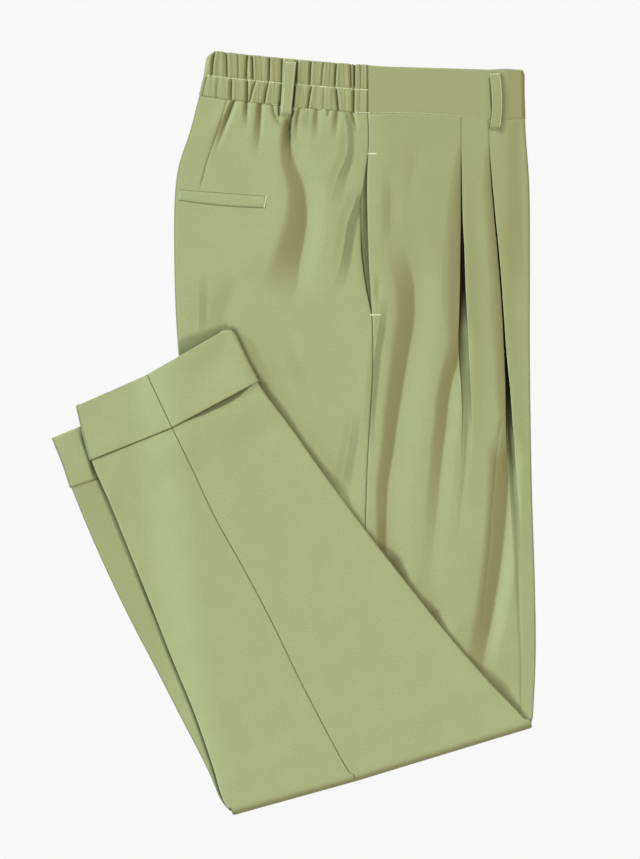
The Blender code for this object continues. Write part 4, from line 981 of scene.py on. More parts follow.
def band_height(x, station):
    """Height of the gathered band over its rest and its masks: the two channels' waves, both pulled
    flat along the stitch between them and at the seam. Fine sines of changing pitch, in patches, are
    the small puckers."""
    lower = crease_wave(x, station / CHANNEL, LOWER_CREASES)
    upper = crease_wave(x, (station - CHANNEL) / (BAND_TOP - CHANNEL), UPPER_CREASES)
    is_upper = smoothstep((station - CHANNEL + 0.12) / 0.24)
    wave, dark, olive = (low * (1.0 - is_upper) + high * is_upper for low, high in zip(lower, upper))
    pull = bell(station - CHANNEL, 0.14)
    foot = 1.0 - 0.4 * bell(station, 0.3)
    patch = 0.35 + 0.65 * np.sin(x * 0.27 + 1.2 * station + 0.6) ** 2
    lean = 0.8 * np.sin(x * 0.19) * station
    coarse = np.sin(x * 1.05 + 1.5 * np.sin(x * 0.33) + lean)
    fine = np.sin(x * 2.1 - lean + 2.0 * np.sin(x * 0.21))
    height = wave * (1.0 - 0.45 * pull) * foot - 0.5 * pull + patch * (0.14 * coarse + 0.07 * fine)
    return height, dark * (1.0 - 0.5 * pull), olive * (1.0 - 0.6 * pull)


def make_band(name, node, material, join, gathered):
    """A stretch of waistband: along the underside, round its folded edge and back on top, with its
    top edge rolled over to the inside. The gathered stretch is the back's, on the left."""
    side, edge_name = (-1.0, "left_x") if gathered else (1.0, "right_x")
    near_seam = (0.0, 0.03, 0.08, 0.14)
    stations = np.concatenate((near_seam, np.linspace(0.2, BAND_TOP, 44 if gathered else 20)))
    row = sections(BAND_COLUMNS, BAND_SECTIONS, stations)
    radius = UPPER_REST / 2.0
    centre = (row[edge_name] - side * radius)[:, None]
    turn = np.linspace(-np.pi / 2.0, np.pi / 2.0, 13)
    inner = np.linspace(0.0, 1.0, 6)[:-1]
    share = np.linspace(0.0, 1.0, 320 if gathered else 260)[1:-1]
    share = np.concatenate((share, 1.0 - np.array((0.006, 0.003, 0.0))))
    under = join + (centre - join) * inner
    bend = centre + side * radius * np.cos(turn)
    flat = centre + (join - centre) * share
    tuck = np.full((len(stations), 2 if gathered else 0), join) + np.array((0.05, 2.5) if gathered else ())
    x = np.concatenate((under, bend, flat, tuck), axis=1)
    top_count = len(share) + tuck.shape[1]
    y = section_y(row, x)
    y = y + waist_stray(x) * (1.0 - smoothstep(stations[:, None] / 3.0))
    y = y + LOOP_HUMP * bell(x - LOOP_HUMP_PLACE, 11.0) * stations[:, None] / BAND_TOP
    under_count = len(inner) + len(turn) // 2
    straight = (x[:, :under_count] - x[:, :1]) / (x[:, under_count - 1:under_count] - x[:, :1])
    y[:, :under_count] = y[:, :1] + (y[:, under_count - 1:under_count] - y[:, :1]) * straight
    level = np.concatenate((0.0 * inner, radius + radius * np.sin(turn), np.full(top_count, UPPER_REST)))
    z = np.repeat(level[None, :], len(stations), axis=0)
    place = np.repeat(stations[:, None], x.shape[1], axis=1)
    on_top = smoothstep((z - 0.55 * UPPER_REST) / (0.45 * UPPER_REST))
    dark = np.zeros_like(x)
    if gathered:
        wave, dark, olive = band_height(x, place)
        z = z + wave * on_top
        y = y + 0.45 * wave * on_top * smoothstep((place - 4.2) / 0.8)
        dark = dark * on_top
    else:
        z = z + ripple(x, y, FLAT_BAND_RIPPLE) * on_top
        # Painted browner shade, stronger towards the front edge.
        olive = 0.42 + 0.5 * smoothstep((x - 189.0) / 9.0)
    z = z - seam_dip(place, 0.5 if gathered else 0.25, 0.09) * on_top
    to_join = np.abs(x - join)
    z = z - seam_dip(to_join) * on_top
    z = z - 1.6 * smoothstep((x - join) * -side / 0.06)
    outer = np.dstack((x, y, z))
    out_x = side * np.concatenate((0.0 * inner, np.cos(turn), np.zeros(top_count)))
    out_z = np.concatenate((-1.0 + 0.0 * inner, np.sin(turn), np.ones(top_count)))
    out = np.stack((out_x, 0.0 * out_x, out_z), axis=-1)[None]
    half = BAND_THICKNESS / 2.0
    over = np.linspace(0.0, np.pi, 8)[1:, None, None]
    rolled = outer[-1:] - out * half * (1.0 - np.cos(over)) + np.array((0.0, half, 0.0)) * np.sin(over)
    lining = outer[-2:-24 if gathered else -10:-3] - out * BAND_THICKNESS
    grid = np.concatenate((outer, rolled, lining), axis=0)

    def down_inside(values, start=0.0):
        """A mask on the outer cloth, carried on over the rolled edge from a start value to none."""
        fade = start * np.linspace(1.0, 0.0, len(rolled))[:, None] * np.ones(x.shape[1])
        return np.concatenate((values, fade, np.zeros((len(lining), x.shape[1]))), axis=0)

    # Painted shade along the creases and on the back's folded edge, and painted shadow beside the loops; the
    # seam mask is the seam line at the join.
    crease = down_inside(dark, dark[-1])
    edge_shade = down_inside(EDGE_SHADE * (1.0 - on_top)) * (side < 0.0)
    masks = masks_on(
        grid.shape[:2],
        olive=down_inside(olive * on_top),
        grey=np.maximum(0.5 * crease, edge_shade),
        gap=np.maximum(0.88 * crease, down_inside(loop_shadow(x, y) * on_top)),
        seam=0.3 * down_inside(bell(to_join, 0.5) * on_top),
    )
    return cloth(name, grid, [node], material, (12, 3), towards=DOWN, wall=0.0, masks=masks)


def loop_arch(top, bottom, bow, lean):
    """Middle line and heights of a belt loop: straight on the page but for a lean as half a sine, and
    arched by its bow as a power of half a sine, with both ends pressed down as bells."""
    part = np.linspace(0.0, 1.0, 60)
    top, bottom = np.array(top), np.array(bottom)
    middle = top + (bottom - top) * part[:, None]
    middle[:, 0] += lean * np.sin(np.pi * part)
    ends = np.minimum(part, 1.0 - part) * np.linalg.norm(bottom - top)
    rest = UPPER_REST + 1.9
    arch = rest + bow * np.sin(np.pi * part) ** 0.8 - 0.9 * bell(ends, 1.6)
    return middle, arch, 1.0 - 0.35 * bell(ends, 2.0)


def make_loop(name, node, material, shape, width, olive):
    """A belt loop: a flat tube with rounded long edges that arches from the band's top to below its
    seam. Its cross-section is a flattened oval carried along the arch."""
    middle, arch, press = loop_arch(*shape)
    angle = np.linspace(0.0, 2.0 * np.pi, 33)[:-1]
    across = np.sign(np.cos(angle)) * np.abs(np.cos(angle)) ** 0.55 * width / 2.0
    thick = np.sign(np.sin(angle)) * np.abs(np.sin(angle)) ** 0.8 * 0.95
    x = middle[:, :1] + across
    y = np.repeat(middle[:, 1:], len(angle), axis=1)
    z = arch[:, None] + thick * press[:, None]
    edge_line = np.abs(np.abs(across) - width * 0.36) < 0.35
    # An even browner painted shade over the loop, and dark lines along its stitching.
    masks = masks_on(x.shape, olive=olive, seam=0.25 * edge_line)
    return cloth(name, np.dstack((x, y, z)), [node], material, (20, 8), wall=0.0, masks=masks,
                 closed=True)


# Left half and the folded leg


def panel_runs(row, seam, edge, outset=0.0):
    """Start beside the seam, direction to the edge and length of each section of a left panel."""
    start = np.stack((row[seam], section_y(row, row[seam][:, None])[:, 0]), axis=1)
    end = dict(zip(("left", "right"), edges(row)))[edge]
    run, length = unit(end - start)
    return start + run * HALF_SEAM, run, length[:, 0] - HALF_SEAM + outset


def panel_plan(runs, distance):
    """Page places at distances from the seam along each section."""
    return runs[0][:, None, :] + runs[1][:, None, :] * distance[..., None]


def panel_columns(length, radius, count, back):
    """Distances from the seam to the folded edge and round under it, with the lift below the top."""
    near = np.array((0.0, 0.35, 0.8, 1.5, 2.6, 4.2))
    turn = half_turn()[1:]
    flat_end = length - radius
    flat = near[-1] + (flat_end - near[-1])[:, None] * np.linspace(0.0, 1.0, count)[1:]
    distance = np.concatenate((
        np.repeat(near[None, :], len(length), axis=0),
        flat,
        flat_end[:, None] + radius * np.sin(turn),
        (flat_end - back)[:, None],
    ), axis=1)
    lift = np.concatenate((np.zeros(len(near) + count - 1), radius * (1.0 - np.cos(turn)), (2.0 * radius,)))
    return distance, lift


def fold_inwards():
    """Unit direction on the page from the knee fold towards the waist."""
    fold = np.array(UPPER_SECTIONS[-1][:4])
    along = unit(fold[2:] - fold[:2])[0]
    return np.array((-along[1], along[0]))


WEDGE = {  # reach of the shade under the turn-up's free edge, from the seam to the folded edge
    "left": ((0, 0.4), (0.5, 0.5), (0.9, 0.7), (1, 0.2)),
    "right": ((0, 0.2), (0.14, 0.5), (0.33, 2.2), (0.62, 3.8), (0.77, 3), (0.9, 0.4), (0.96, 0)),
}
LEG_SEAM_DIP = (0.25, 0.6)  # depth and width of the groove along the folded leg's seam


def make_left_panel(name, node, material, edge, count):
    """A left panel from the waist seam along the floor, round the knee fold and up the leg."""
    under_row = sections(UPPER_COLUMNS, UPPER_SECTIONS, np.linspace(0.0, 7.55, 60))
    fold_row = sections(LEG_COLUMNS, LEG_SECTIONS, (0.0,))
    stations = even_stations(LEG_COLUMNS, LEG_SECTIONS, 0.55, 8.93, 2.4)
    near_edge = np.array((-0.02, 0.0, 0.01, 0.02, 0.03, 0.045, 0.06, 0.075, 0.09, 0.11, 0.13))
    stations = np.sort(np.concatenate((stations, FREE_EDGE - near_edge)))
    over_row = sections(LEG_COLUMNS, LEG_SECTIONS, stations)
    plans = []
    for row, seam in ((under_row, "side_x"), (fold_row, "seam_x"), (over_row, "seam_x")):
        runs = panel_runs(row, seam, edge)
        distance, lifts = panel_columns(runs[2], EDGE_TURN, count, EDGE_RETURN)
        plans.append(panel_plan(runs, distance))
    under, bend, over = plans
    inwards = fold_inwards()
    radius = leg_top(bend[0, :, 0], bend[0, :, 1] + KNEE_SAMPLE) / 2.0
    hinge = bend[0] + inwards * radius[:, None]
    angle = np.radians(np.linspace(-90.0, 90.0, 19))[:, None]
    reach = radius[None, :] - lifts[None, :]
    bend_plan = hinge[None] - inwards * (reach * np.cos(angle))[..., None]
    bend_z = radius + reach * np.sin(angle)
    x, y = over[..., 0], over[..., 1]
    away = lengths(over, 1)
    past_knee = smoothstep(stations[:, None] - 0.5)
    soft = (uneven(x, y, LEG_UNEVEN) + ripple(x, y, 0.1)) * past_knee
    over_z = leg_top(x, y) - lifts + (soft - seam_dip(away, *LEG_SEAM_DIP))
    grid = np.concatenate((
        np.dstack((under, np.repeat(lifts[None, :], len(under), axis=0))),
        np.dstack((bend_plan, bend_z)),
        np.dstack((over, over_z)),
    ), axis=0)
    across = away / away[:, len(lifts) - 10:len(lifts) - 9]
    # Painted shadow under the turn-up's free edge, a wedge carried by the seam mask.
    below = (FREE_EDGE - stations[:, None]) * FREE_EDGE_ROW
    reach = np.interp(across, *np.array(WEDGE[edge]).T)
    on_flat = (below > -3.0) * (lifts < EDGE_TURN) * (reach > 0.05)
    wedge = np.where(below < 0.9, 0.85, 0.72) * (1.0 - smoothstep((below - reach) / 0.9)) * on_flat
    seam = SEAM_TONE * bell(lengths(grid, 1), SEAM_WIDTH)
    seam[-len(over):] = np.maximum(seam[-len(over):], wedge)
    # Painted shade on the folded left edge, which faces the window.
    shaded = EDGE_SHADE * (lifts > 0.0) * (edge == "left") + np.zeros(grid.shape[:2])
    shaded[-len(over):] *= lifts > 0.5 * EDGE_TURN
    masks = masks_on(grid.shape[:2], grey=shaded, seam=seam)
    return cloth(name, grid, [node], material, (4, 12), towards=DOWN, masks=masks)


def make_turn_up(name, node, material, edge, count, gape, corner):
    """Half of the left turn-up: from the leg round the hem fold, down over the leg to a free edge
    that stands off it, and round the leg's folded edge. Its corner at the hem is an arc."""
    turn = half_turn(7)[::-1]
    hem_radius, tucked_in = 0.95, 3.0
    down = np.concatenate((np.linspace(1.0, 52.0, 24), (53.0, 53.6, TURN_UP_HEIGHT)))
    inset = np.concatenate(((tucked_in,), hem_radius * (1.0 - np.sin(turn)), down))
    hem_drop = hem_radius * (1.0 - np.cos(turn))
    drop = np.concatenate(((2.0 * hem_radius,), hem_drop, np.zeros(len(down) - 2), (0.12, 0.45)))
    stations = HEM - inset / TURN_UP_HEIGHT
    row = sections(LEG_COLUMNS, LEG_SECTIONS, stations)
    start, run, length = panel_runs(row, "seam_x", edge, CUFF_OUTSET)
    to_corner = np.clip(1.0 - inset / corner, 0.0, 1.0)
    length = length - corner * (1.0 - np.sqrt(1.0 - to_corner**2))
    distance, lifts = panel_columns(length, CUFF_TURN, count, EDGE_RETURN)
    plan = panel_plan((start, run), distance)
    x, y = plan[..., 0], plan[..., 1]
    across = distance / length[:, None]
    low = smoothstep((8.6 - stations) / 0.6)[:, None]
    opening = low * smoothstep(across * 1.6) * (1.0 - smoothstep((across - 0.86) / 0.14)) * gape
    height = np.sin(np.pi * np.clip(HEM - stations, 0.0, 1.0))[:, None]
    puff = 0.35 * height * (1.0 + np.sin(x / 21.0 + 0.7)) * (lifts < 0.1)
    around = drop[:, None] * (1.0 - lifts / CUFF_TURN)
    z = leg_top(x, y) + CUFF_LIFT - around - lifts + opening
    z = z - seam_dip(distance, *LEG_SEAM_DIP) + puff
    # Painted shade on the folded left edge, which faces the window; the seam mask is the seam line.
    masks = masks_on(
        z.shape,
        grey=EDGE_SHADE * (lifts > 0.0) * (edge == "left"),
        seam=SEAM_TONE * bell(distance, SEAM_WIDTH),
    )
    return cloth(name, np.dstack((x, y, z)), [node], material, (18, 10), wall=0.7, masks=masks)


def leg_shade(x, y, outset, width):
    """Painted shadow on the cloth outside the left leg's back edge, sharp at the edge and soft beyond."""
    edge = edges(sections(LEG_COLUMNS, LEG_SECTIONS, np.linspace(0.0, HEM, 60)))[0]
    away = beside(x, y, edge)[0] - outset
    return bell(np.maximum(away, 0.0), width) * (away > -4.0)


def make_strip(name, node, material, rows, height, olive, shade, tucked_from=99.0):
    """Cloth of the right leg folded round its edge: its top, the rounded edge and its underside. Past
    one section it is squeezed towards its middle, so that it fits inside the turn-up."""
    stations = even_stations(STRIP_COLUMNS, rows, 0.0, len(rows) - 1.0, 2.2)
    left, right = edges(sections(STRIP_COLUMNS, rows, stations))
    run = unit(right - left)[0]
    radius = height / 2.0
    turn = half_turn(11)
    share = np.linspace(0.0, 1.0, 14)
    centre = left + run * radius
    top = right[:, None] + (centre - right)[:, None] * share[None, :-1, None]
    bend = centre[:, None] - run[:, None] * (radius * np.sin(turn))[None, :, None]
    bottom = right[:, None] + (centre - right)[:, None] * share[None, -2::-3, None]
    x, y = np.moveaxis(np.concatenate((top, bend, bottom), axis=1), -1, 0)
    on_top, below = top.shape[1], bottom.shape[1]
    rise = np.concatenate((np.full(on_top, height), radius + radius * np.cos(turn), np.zeros(below)))
    base = leg_under(x, y)
    base[:, on_top:on_top + len(turn)] = leg_under(centre[:, 0], centre[:, 1])[:, None]
    inside = np.concatenate((1.0 - share[:-1], np.zeros(len(turn) + below)))
    waves = 0.5 * np.sin(y / 31.0 + 0.6) + 0.3 * np.sin(y / 13.0 + x / 19.0)
    soft = waves * np.sin(np.pi * inside) * (rise >= height - 1e-6)
    squeeze = 0.45 * smoothstep((stations[:, None] - tucked_from) / 0.1)
    z = base + (rise + soft) * (1.0 - squeeze) + 0.5 * height * squeeze
    # Painted shadow beside the left leg, painted shade on the curled edge and an even browner painted shade
    # over the strip.
    beside_leg = leg_shade(x, y, *shade) * (rise >= height)
    curled = (rise < height) & (rise > 0.0)
    masks = masks_on(
        z.shape, olive=olive, grey=np.where(curled, EDGE_SHADE, beside_leg), gap=0.72 * beside_leg,
    )
    return cloth(name, np.dstack((x, y, z)), [node], material, (3, 2), masks=masks)


def make_inner_layers(material):
    """The layers between, as one solid: rings of points from the waist down, round the knee fold and
    up to the hem, with the edges of stacked layers as ridges down its sides."""
    share = np.linspace(0.0, 1.0, 40)
    part = np.linspace(0.0, 1.0, 14)[1:-1]
    floor_z, ceiling_z, wall = 1.4, 2.3, 1.5

    def lifted(line, z):
        """Page places with a height."""
        return np.column_stack((line, z + np.zeros(len(line))))

    def ring(outer, inner, layers):
        """A closed line: along the outer side, down one edge, back inside and up the other edge, its
        two edges dented as the arches of a sine."""
        dent = 1.1 * np.abs(np.sin(np.pi * layers * part))[:, None]
        along = unit(outer[-1] - outer[0])[0]
        right = outer[-1] + (inner[-1] - outer[-1]) * part[:, None] - along * (1.1 - dent)
        left = inner[0] + (outer[0] - inner[0]) * part[:, None] + along * (1.1 - dent)
        return np.vstack((outer, right, inner[::-1], left))

    def across(row, from_left, from_right):
        """Lines across the sections, from one distance inside their ends to another."""
        left, right = edges(row)
        run, length = unit(right - left)
        place = from_left + (length - from_left - from_right) * share[None, :]
        return left[:, None, :] + run[:, None, :] * place[..., None]

    upper = sections(UPPER_COLUMNS, UPPER_SECTIONS, np.linspace(0.04, 7.55, 40))
    rings = [ring(lifted(line, floor_z), lifted(line, ceiling_z), 1) for line in across(upper, 3.6, 3.6)]
    inwards = fold_inwards()
    line = across(sections(LEG_COLUMNS, LEG_SECTIONS, (0.0,)), 3.6, 3.6)[0]
    radius = leg_top(line[:, 0], line[:, 1] + KNEE_SAMPLE) / 2.0
    hinge = line + inwards * radius[:, None]
    middle, half = (LEG_REST + ceiling_z) / 2.0, (LEG_REST - ceiling_z) / 2.0
    for angle in np.radians(np.linspace(-90.0, 90.0, 11)):
        reach = (radius - wall) * np.cos(angle)
        outer = lifted(hinge - inwards * reach[:, None], radius + (radius - wall) * np.sin(angle))
        inner = lifted(hinge - inwards * half * np.cos(angle), middle + half * np.sin(angle))
        rings.append(ring(outer, inner, 1 + (angle > 0.0)))
    leg = sections(LEG_COLUMNS, LEG_SECTIONS, np.linspace(0.8, 8.85, 60))
    for upper_line, lower_line in zip(across(leg, 3.2, 2.6), across(leg, 24.0, 2.2)):
        outer = lifted(upper_line, leg_top(*upper_line.T) - 1.4)
        inner = lifted(lower_line, leg_under(*lower_line.T) + 0.1)
        rings.append(ring(outer, inner, 3))
    grid = np.array(rings)
    # These layers lie between and under the others, so painted shade darkens all of them.
    return cloth("inner_layers_cloth", grid, ["folded_layers"], material, (5, 10), towards=DOWN, wall=0.0,
                 masks=masks_on(grid.shape[:2], grey=1.0, gap=0.3), closed=True)


# Stitches


def stitches(name, rows, material, tall=0.22):
    """Thread in short stitches: a flattened bead at each place along the rows' lines. A row gives its
    line, the pitch, and a bead's size along and across it. A bead is a sphere grid stretched to that
    size, and all are made at once."""
    around = np.linspace(0.0, 2.0 * np.pi, 7)[:-1]
    slope = np.linspace(-np.pi / 2.0, np.pi / 2.0, 5)[:, None]
    rings = np.cos(slope)
    sphere = np.stack((np.sin(slope) + 0.0 * around, rings * np.cos(around), rings * np.sin(around)), axis=-1)
    sphere = sphere.reshape(1, -1, 3)
    beads = []
    for line, pitch, length, width in rows:
        places, heading = along_line(np.array(line, float), pitch)
        level = np.stack((-heading[:, 1], heading[:, 0], 0.0 * heading[:, 0]), axis=1)
        sideways = unit(level)[0]
        upwards = np.cross(heading, sideways)
        beads.append(
            places[:, None]
            + sphere[..., :1] * heading[:, None] * length / 2.0
            + sphere[..., 1:2] * sideways[:, None] * width / 2.0
            + sphere[..., 2:] * upwards[:, None] * tall
        )
    points = np.concatenate(beads)
    base = grid_faces(len(slope), len(around), True)
    first = np.arange(len(points)) * points.shape[1]
    piece = build_mesh(name, points.reshape(-1, 3), (base + first[:, None, None]).reshape(-1, 4))
    piece.data.materials.append(material)
    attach(piece, "root")
    return piece


def along_line(line, pitch):
    """Places at an even pitch along a polyline, and the direction there, read over 0.8 mm."""
    run = run_along(line)

    def at(reached):
        """Points at lengths along the line."""
        return np.stack([np.interp(reached, run, line[:, i]) for i in range(3)], axis=1)

    middles = np.arange(pitch / 2.0, run[-1], pitch)
    return at(middles), unit(at(middles + 0.4) - at(middles - 0.4))[0]


def loop_line(shape, aside, first=0.06, last=0.97):
    """A line on top of a belt loop, beside its middle, between two shares of its length."""
    middle, arch, press = loop_arch(*shape)
    inner = slice(int(first * len(arch)), int(last * len(arch)))
    return np.column_stack((middle[:, 0] + aside, middle[:, 1], arch + 1.12 * press))[inner]


def cloth_line(first, last, lift, count=20):
    """A straight line on the page that lies on the upper part, a little above it."""
    x, y = np.linspace(first, last, count).T
    return np.stack((x, y, upper_cloth(x[:, None], y[:, None])[0][:, 0] + lift), axis=1)


def band_line(station, first, last, lift=0.12, count=260):
    """A line on top of the waistband at one station, from one place across to another."""
    x = np.linspace(first, last, count)
    row = sections(BAND_COLUMNS, BAND_SECTIONS, np.full(count, station))
    y = section_y(row, x[:, None])[:, 0] + waist_stray(x) * (1.0 - smoothstep(station / 3.0))
    puffs = band_height(x[:, None], np.full((count, 1), station))[0][:, 0]
    z = UPPER_REST + np.where(x < 67.0, puffs, ripple(x, y, FLAT_BAND_RIPPLE))
    return np.stack((x, y, z + lift), axis=1)


# Materials


def principled(name, values):
    """A material with a Principled BSDF, and the given values on the shader's own sockets."""
    material = bpy.data.materials.new(name)
    material.use_nodes = True
    shader = material.node_tree.nodes["Principled BSDF"]
    for key, value in values.items():
        shader.inputs[key].default_value = value
    return material, material.node_tree, shader


def socket(tree, name, kind, where, value=None):
    """An input or output of a node group, with its own value."""
    made = tree.interface.new_socket(name=name, in_out=where, socket_type=kind)
    if value is not None:
        made.default_value = value


def math_node(tree, operation, first, second=None):
    """One step of arithmetic on sockets or numbers."""
    node = tree.nodes.new("ShaderNodeMath")
    node.operation = operation
    for place, value in enumerate((first, second)):
        if value is None:
            continue
        if isinstance(value, (int, float)):
            node.inputs[place].default_value = value
        else:
            tree.links.new(value, node.inputs[place])
    return node.outputs[0]


def noise_node(tree, place, scale, detail):
    """Noise on a place, its scale a socket or a number."""
    noise = tree.nodes.new("ShaderNodeTexNoise")
    noise.inputs["Detail"].default_value = detail
    tree.links.new(place, noise.inputs["Vector"])
    if isinstance(scale, float):
        noise.inputs["Scale"].default_value = scale
    else:
        tree.links.new(scale, noise.inputs["Scale"])
    return noise.outputs["Fac"]


def weave_group():
    """Crepe weave on cloth millimetres: crossed sines for the threads, broken by fine noise, and a
    broad mottle for the tone."""
    tree = bpy.data.node_groups.new("crepe weave", "ShaderNodeTree")
    socket(tree, "Cloth Place", "NodeSocketVector", "INPUT")
    socket(tree, "Thread Pitch", "NodeSocketFloat", "INPUT", 0.42)
    socket(tree, "Grain Size", "NodeSocketFloat", "INPUT", 1.1)
    socket(tree, "Height", "NodeSocketFloat", "OUTPUT")
    socket(tree, "Tone", "NodeSocketFloat", "OUTPUT")
    enter = tree.nodes.new("NodeGroupInput")
    leave = tree.nodes.new("NodeGroupOutput")
    place = enter.outputs["Cloth Place"]
    split = tree.nodes.new("ShaderNodeSeparateXYZ")
    tree.links.new(place, split.inputs[0])
    turns = math_node(tree, "DIVIDE", 3.14159, enter.outputs["Thread Pitch"])
    warp = math_node(tree, "SINE", math_node(tree, "MULTIPLY", split.outputs["X"], turns))
    weft = math_node(tree, "SINE", math_node(tree, "MULTIPLY", split.outputs["Y"], turns))
    threads = math_node(tree, "MULTIPLY", math_node(tree, "MULTIPLY", warp, weft), 0.5)
    grain = noise_node(tree, place, math_node(tree, "DIVIDE", 1.0, enter.outputs["Grain Size"]), 2.0)
    mottle = noise_node(tree, place, 0.035, 3.0)
    tree.links.new(math_node(tree, "ADD", threads, grain), leave.inputs["Height"])
    fine = math_node(tree, "MULTIPLY", grain, 2.1)
    broad = math_node(tree, "MULTIPLY", mottle, 0.5)
    tone = math_node(tree, "SUBTRACT", math_node(tree, "ADD", fine, broad), 0.8)
    tree.links.new(tone, leave.inputs["Tone"])
    return tree


def mix_colours(tree, mask, first, second):
    """A mix of two colours, each a socket or a value, by a mask from 0 to 1."""
    mix = tree.nodes.new("ShaderNodeMix")
    mix.data_type = "RGBA"
    tree.links.new(mask, mix.inputs["Factor"])
    for key, colour in (("A", first), ("B", second)):
        if isinstance(colour, tuple):
            mix.inputs[key].default_value = colour
        else:
            tree.links.new(colour, mix.inputs[key])
    return mix.outputs["Result"]


def fold_tone_group():
    """Colour of the cloth: between two tones by the weave's own tone, then by the masks towards painted
    shade, browner, darker and near black, and towards the dark of the seam lines, which also serves for
    painted shadow."""
    tree = bpy.data.node_groups.new("fold tone", "ShaderNodeTree")
    for name in ("Low Tone", "High Tone", "Olive", "Grey", "Seam", "Gap"):
        socket(tree, name, "NodeSocketColor", "INPUT", (0.5, 0.5, 0.5, 1.0))
    for name in ("Tone", "Olive Mask", "Grey Mask", "Seam Mask", "Gap Mask"):
        socket(tree, name, "NodeSocketFloat", "INPUT", 0.0)
    socket(tree, "Colour", "NodeSocketColor", "OUTPUT")
    enter = tree.nodes.new("NodeGroupInput")
    leave = tree.nodes.new("NodeGroupOutput")
    colour = mix_colours(tree, enter.outputs["Tone"], enter.outputs["Low Tone"], enter.outputs["High Tone"])
    for name in ("Olive", "Grey", "Seam", "Gap"):
        colour = mix_colours(tree, enter.outputs[name + " Mask"], colour, enter.outputs[name])
    tree.links.new(colour, leave.inputs["Colour"])
    return tree


def shade(colour, factor, less_blue=0.0, less_green=0.0):
    """A colour made darker or lighter, with its green and blue lowered a little more."""
    red, green, blue = colour
    return (red * factor, green * (factor - less_green), blue * (factor - less_blue), 1.0)


def cloth_material(name, weave, tones, colour, relief=0.12, sheen=0.06):
    """Crepe: a matt Principled surface with a soft sheen, its colour and bump from the two groups."""
    material, tree, shader = principled(name, {
        "Roughness": 0.82, "Specular IOR Level": 0.08, "Sheen Weight": sheen, "Sheen Roughness": 0.45,
        "Sheen Tint": (0.9, 0.95, 0.8, 1.0),
    })
    place = tree.nodes.new("ShaderNodeUVMap")
    place.uv_map = "UVMap"
    pattern = tree.nodes.new("ShaderNodeGroup")
    pattern.node_tree = weave
    tree.links.new(place.outputs["UV"], pattern.inputs["Cloth Place"])
    tone = tree.nodes.new("ShaderNodeGroup")
    tone.node_tree = tones
    # Low and High Tone are the weave's own uneven tone. The next two colours are painted shade, browner and
    # darker, Seam is the seam lines' dark, also used for painted shadow, and Gap is near-black painted shade.
    values = {
        "Low Tone": shade(colour, 0.88), "High Tone": shade(colour, 1.12),
        "Olive": shade(colour, 0.8, 0.14, 0.06), "Grey": shade(colour, 0.56, 0.05),
        "Seam": (0.075, 0.068, 0.022, 1.0), "Gap": (0.006, 0.006, 0.0005, 1.0),
    }
    for key, value in values.items():
        tone.inputs[key].default_value = value
    tree.links.new(pattern.outputs["Tone"], tone.inputs["Tone"])
    for mask in MASKS:
        read = tree.nodes.new("ShaderNodeAttribute")
        read.attribute_name = mask
        tree.links.new(read.outputs["Fac"], tone.inputs[mask.capitalize() + " Mask"])
    tree.links.new(tone.outputs["Colour"], shader.inputs["Base Color"])
    bump = tree.nodes.new("ShaderNodeBump")
    bump.inputs["Strength"].default_value = relief
    bump.inputs["Distance"].default_value = 0.0002
    tree.links.new(pattern.outputs["Height"], bump.inputs["Height"])
    tree.links.new(bump.outputs["Normal"], shader.inputs["Normal"])
    return material


def thread_material():
    """Pale cotton thread: cream, slightly uneven along its place in the garment."""
    material, tree, shader = principled("topstitch thread", {"Roughness": 0.6, "Sheen Weight": 0.3})
    place = tree.nodes.new("ShaderNodeTexCoord").outputs["Object"]
    fibre = noise_node(tree, place, 900.0, 2.0)
    colour = mix_colours(tree, fibre, (0.66, 0.68, 0.44, 1.0), (0.95, 0.95, 0.68, 1.0))
    tree.links.new(colour, shader.inputs["Base Color"])
    return material


# The garment

CREPE = (0.319, 0.349, 0.175)
weave = weave_group()
tones = fold_tone_group()
crepe = cloth_material("sage crepe", weave, tones, CREPE)
band_crepe = cloth_material("sage crepe of the waistband", weave, tones, CREPE, relief=0.16)
hidden_crepe = cloth_material("sage crepe, hidden layers", weave, tones, CREPE, sheen=0.05)
thread = thread_material()

right_back = make_right_back(crepe)
right_front = make_right_front(crepe)
facing = make_facing(hidden_crepe)
welt = make_welt(crepe)
left_back = make_left_panel("left_back_cloth", "left_back", crepe, "left", 60)
left_front = make_left_panel("left_front_cloth", "left_front", crepe, "right", 70)
band_back = make_band("waistband_back_cloth", "waistband_back", band_crepe, 67.05, gathered=True)
band_front = make_band("waistband_front_cloth", "waistband_front", band_crepe, 67.35, gathered=False)
LOOP_BACK = ((-1.6, 335.0), (-6.4, 286.6), 0.7, 0.0)  # top, foot, bow and lean of the belt loops
LOOP_FRONT = ((181.8, 324.6), (182.0, 273.4), 1.1, 2.0)
loop_back = make_loop("belt_loop_back_cloth", "belt_loop_back", band_crepe, LOOP_BACK, 9.6, 0.12)
loop_front = make_loop("belt_loop_front_cloth", "belt_loop_front", band_crepe, LOOP_FRONT, 9.8, 0.5)
turn_up_front = make_turn_up("turn_up_front_cloth", "cuff_left_front", crepe, "right", 34, 2.4, 13.0)
turn_up_back = make_turn_up("turn_up_back_cloth", "cuff_left_back", crepe, "left", 32, 0.4, 4.0)
right_leg = make_strip("right_leg_cloth", "right_back_lower", crepe, STRIP_SECTIONS, height=2.7,
                       olive=0.25, shade=(0.3, 1.8), tucked_from=8.0)
right_turn_up = make_strip("right_turn_up_cloth", "cuff_right", crepe, RIGHT_CUFF_SECTIONS, height=4.2,
                           olive=0.05, shade=(2.0, 1.3))
inner_layers = make_inner_layers(hidden_crepe)

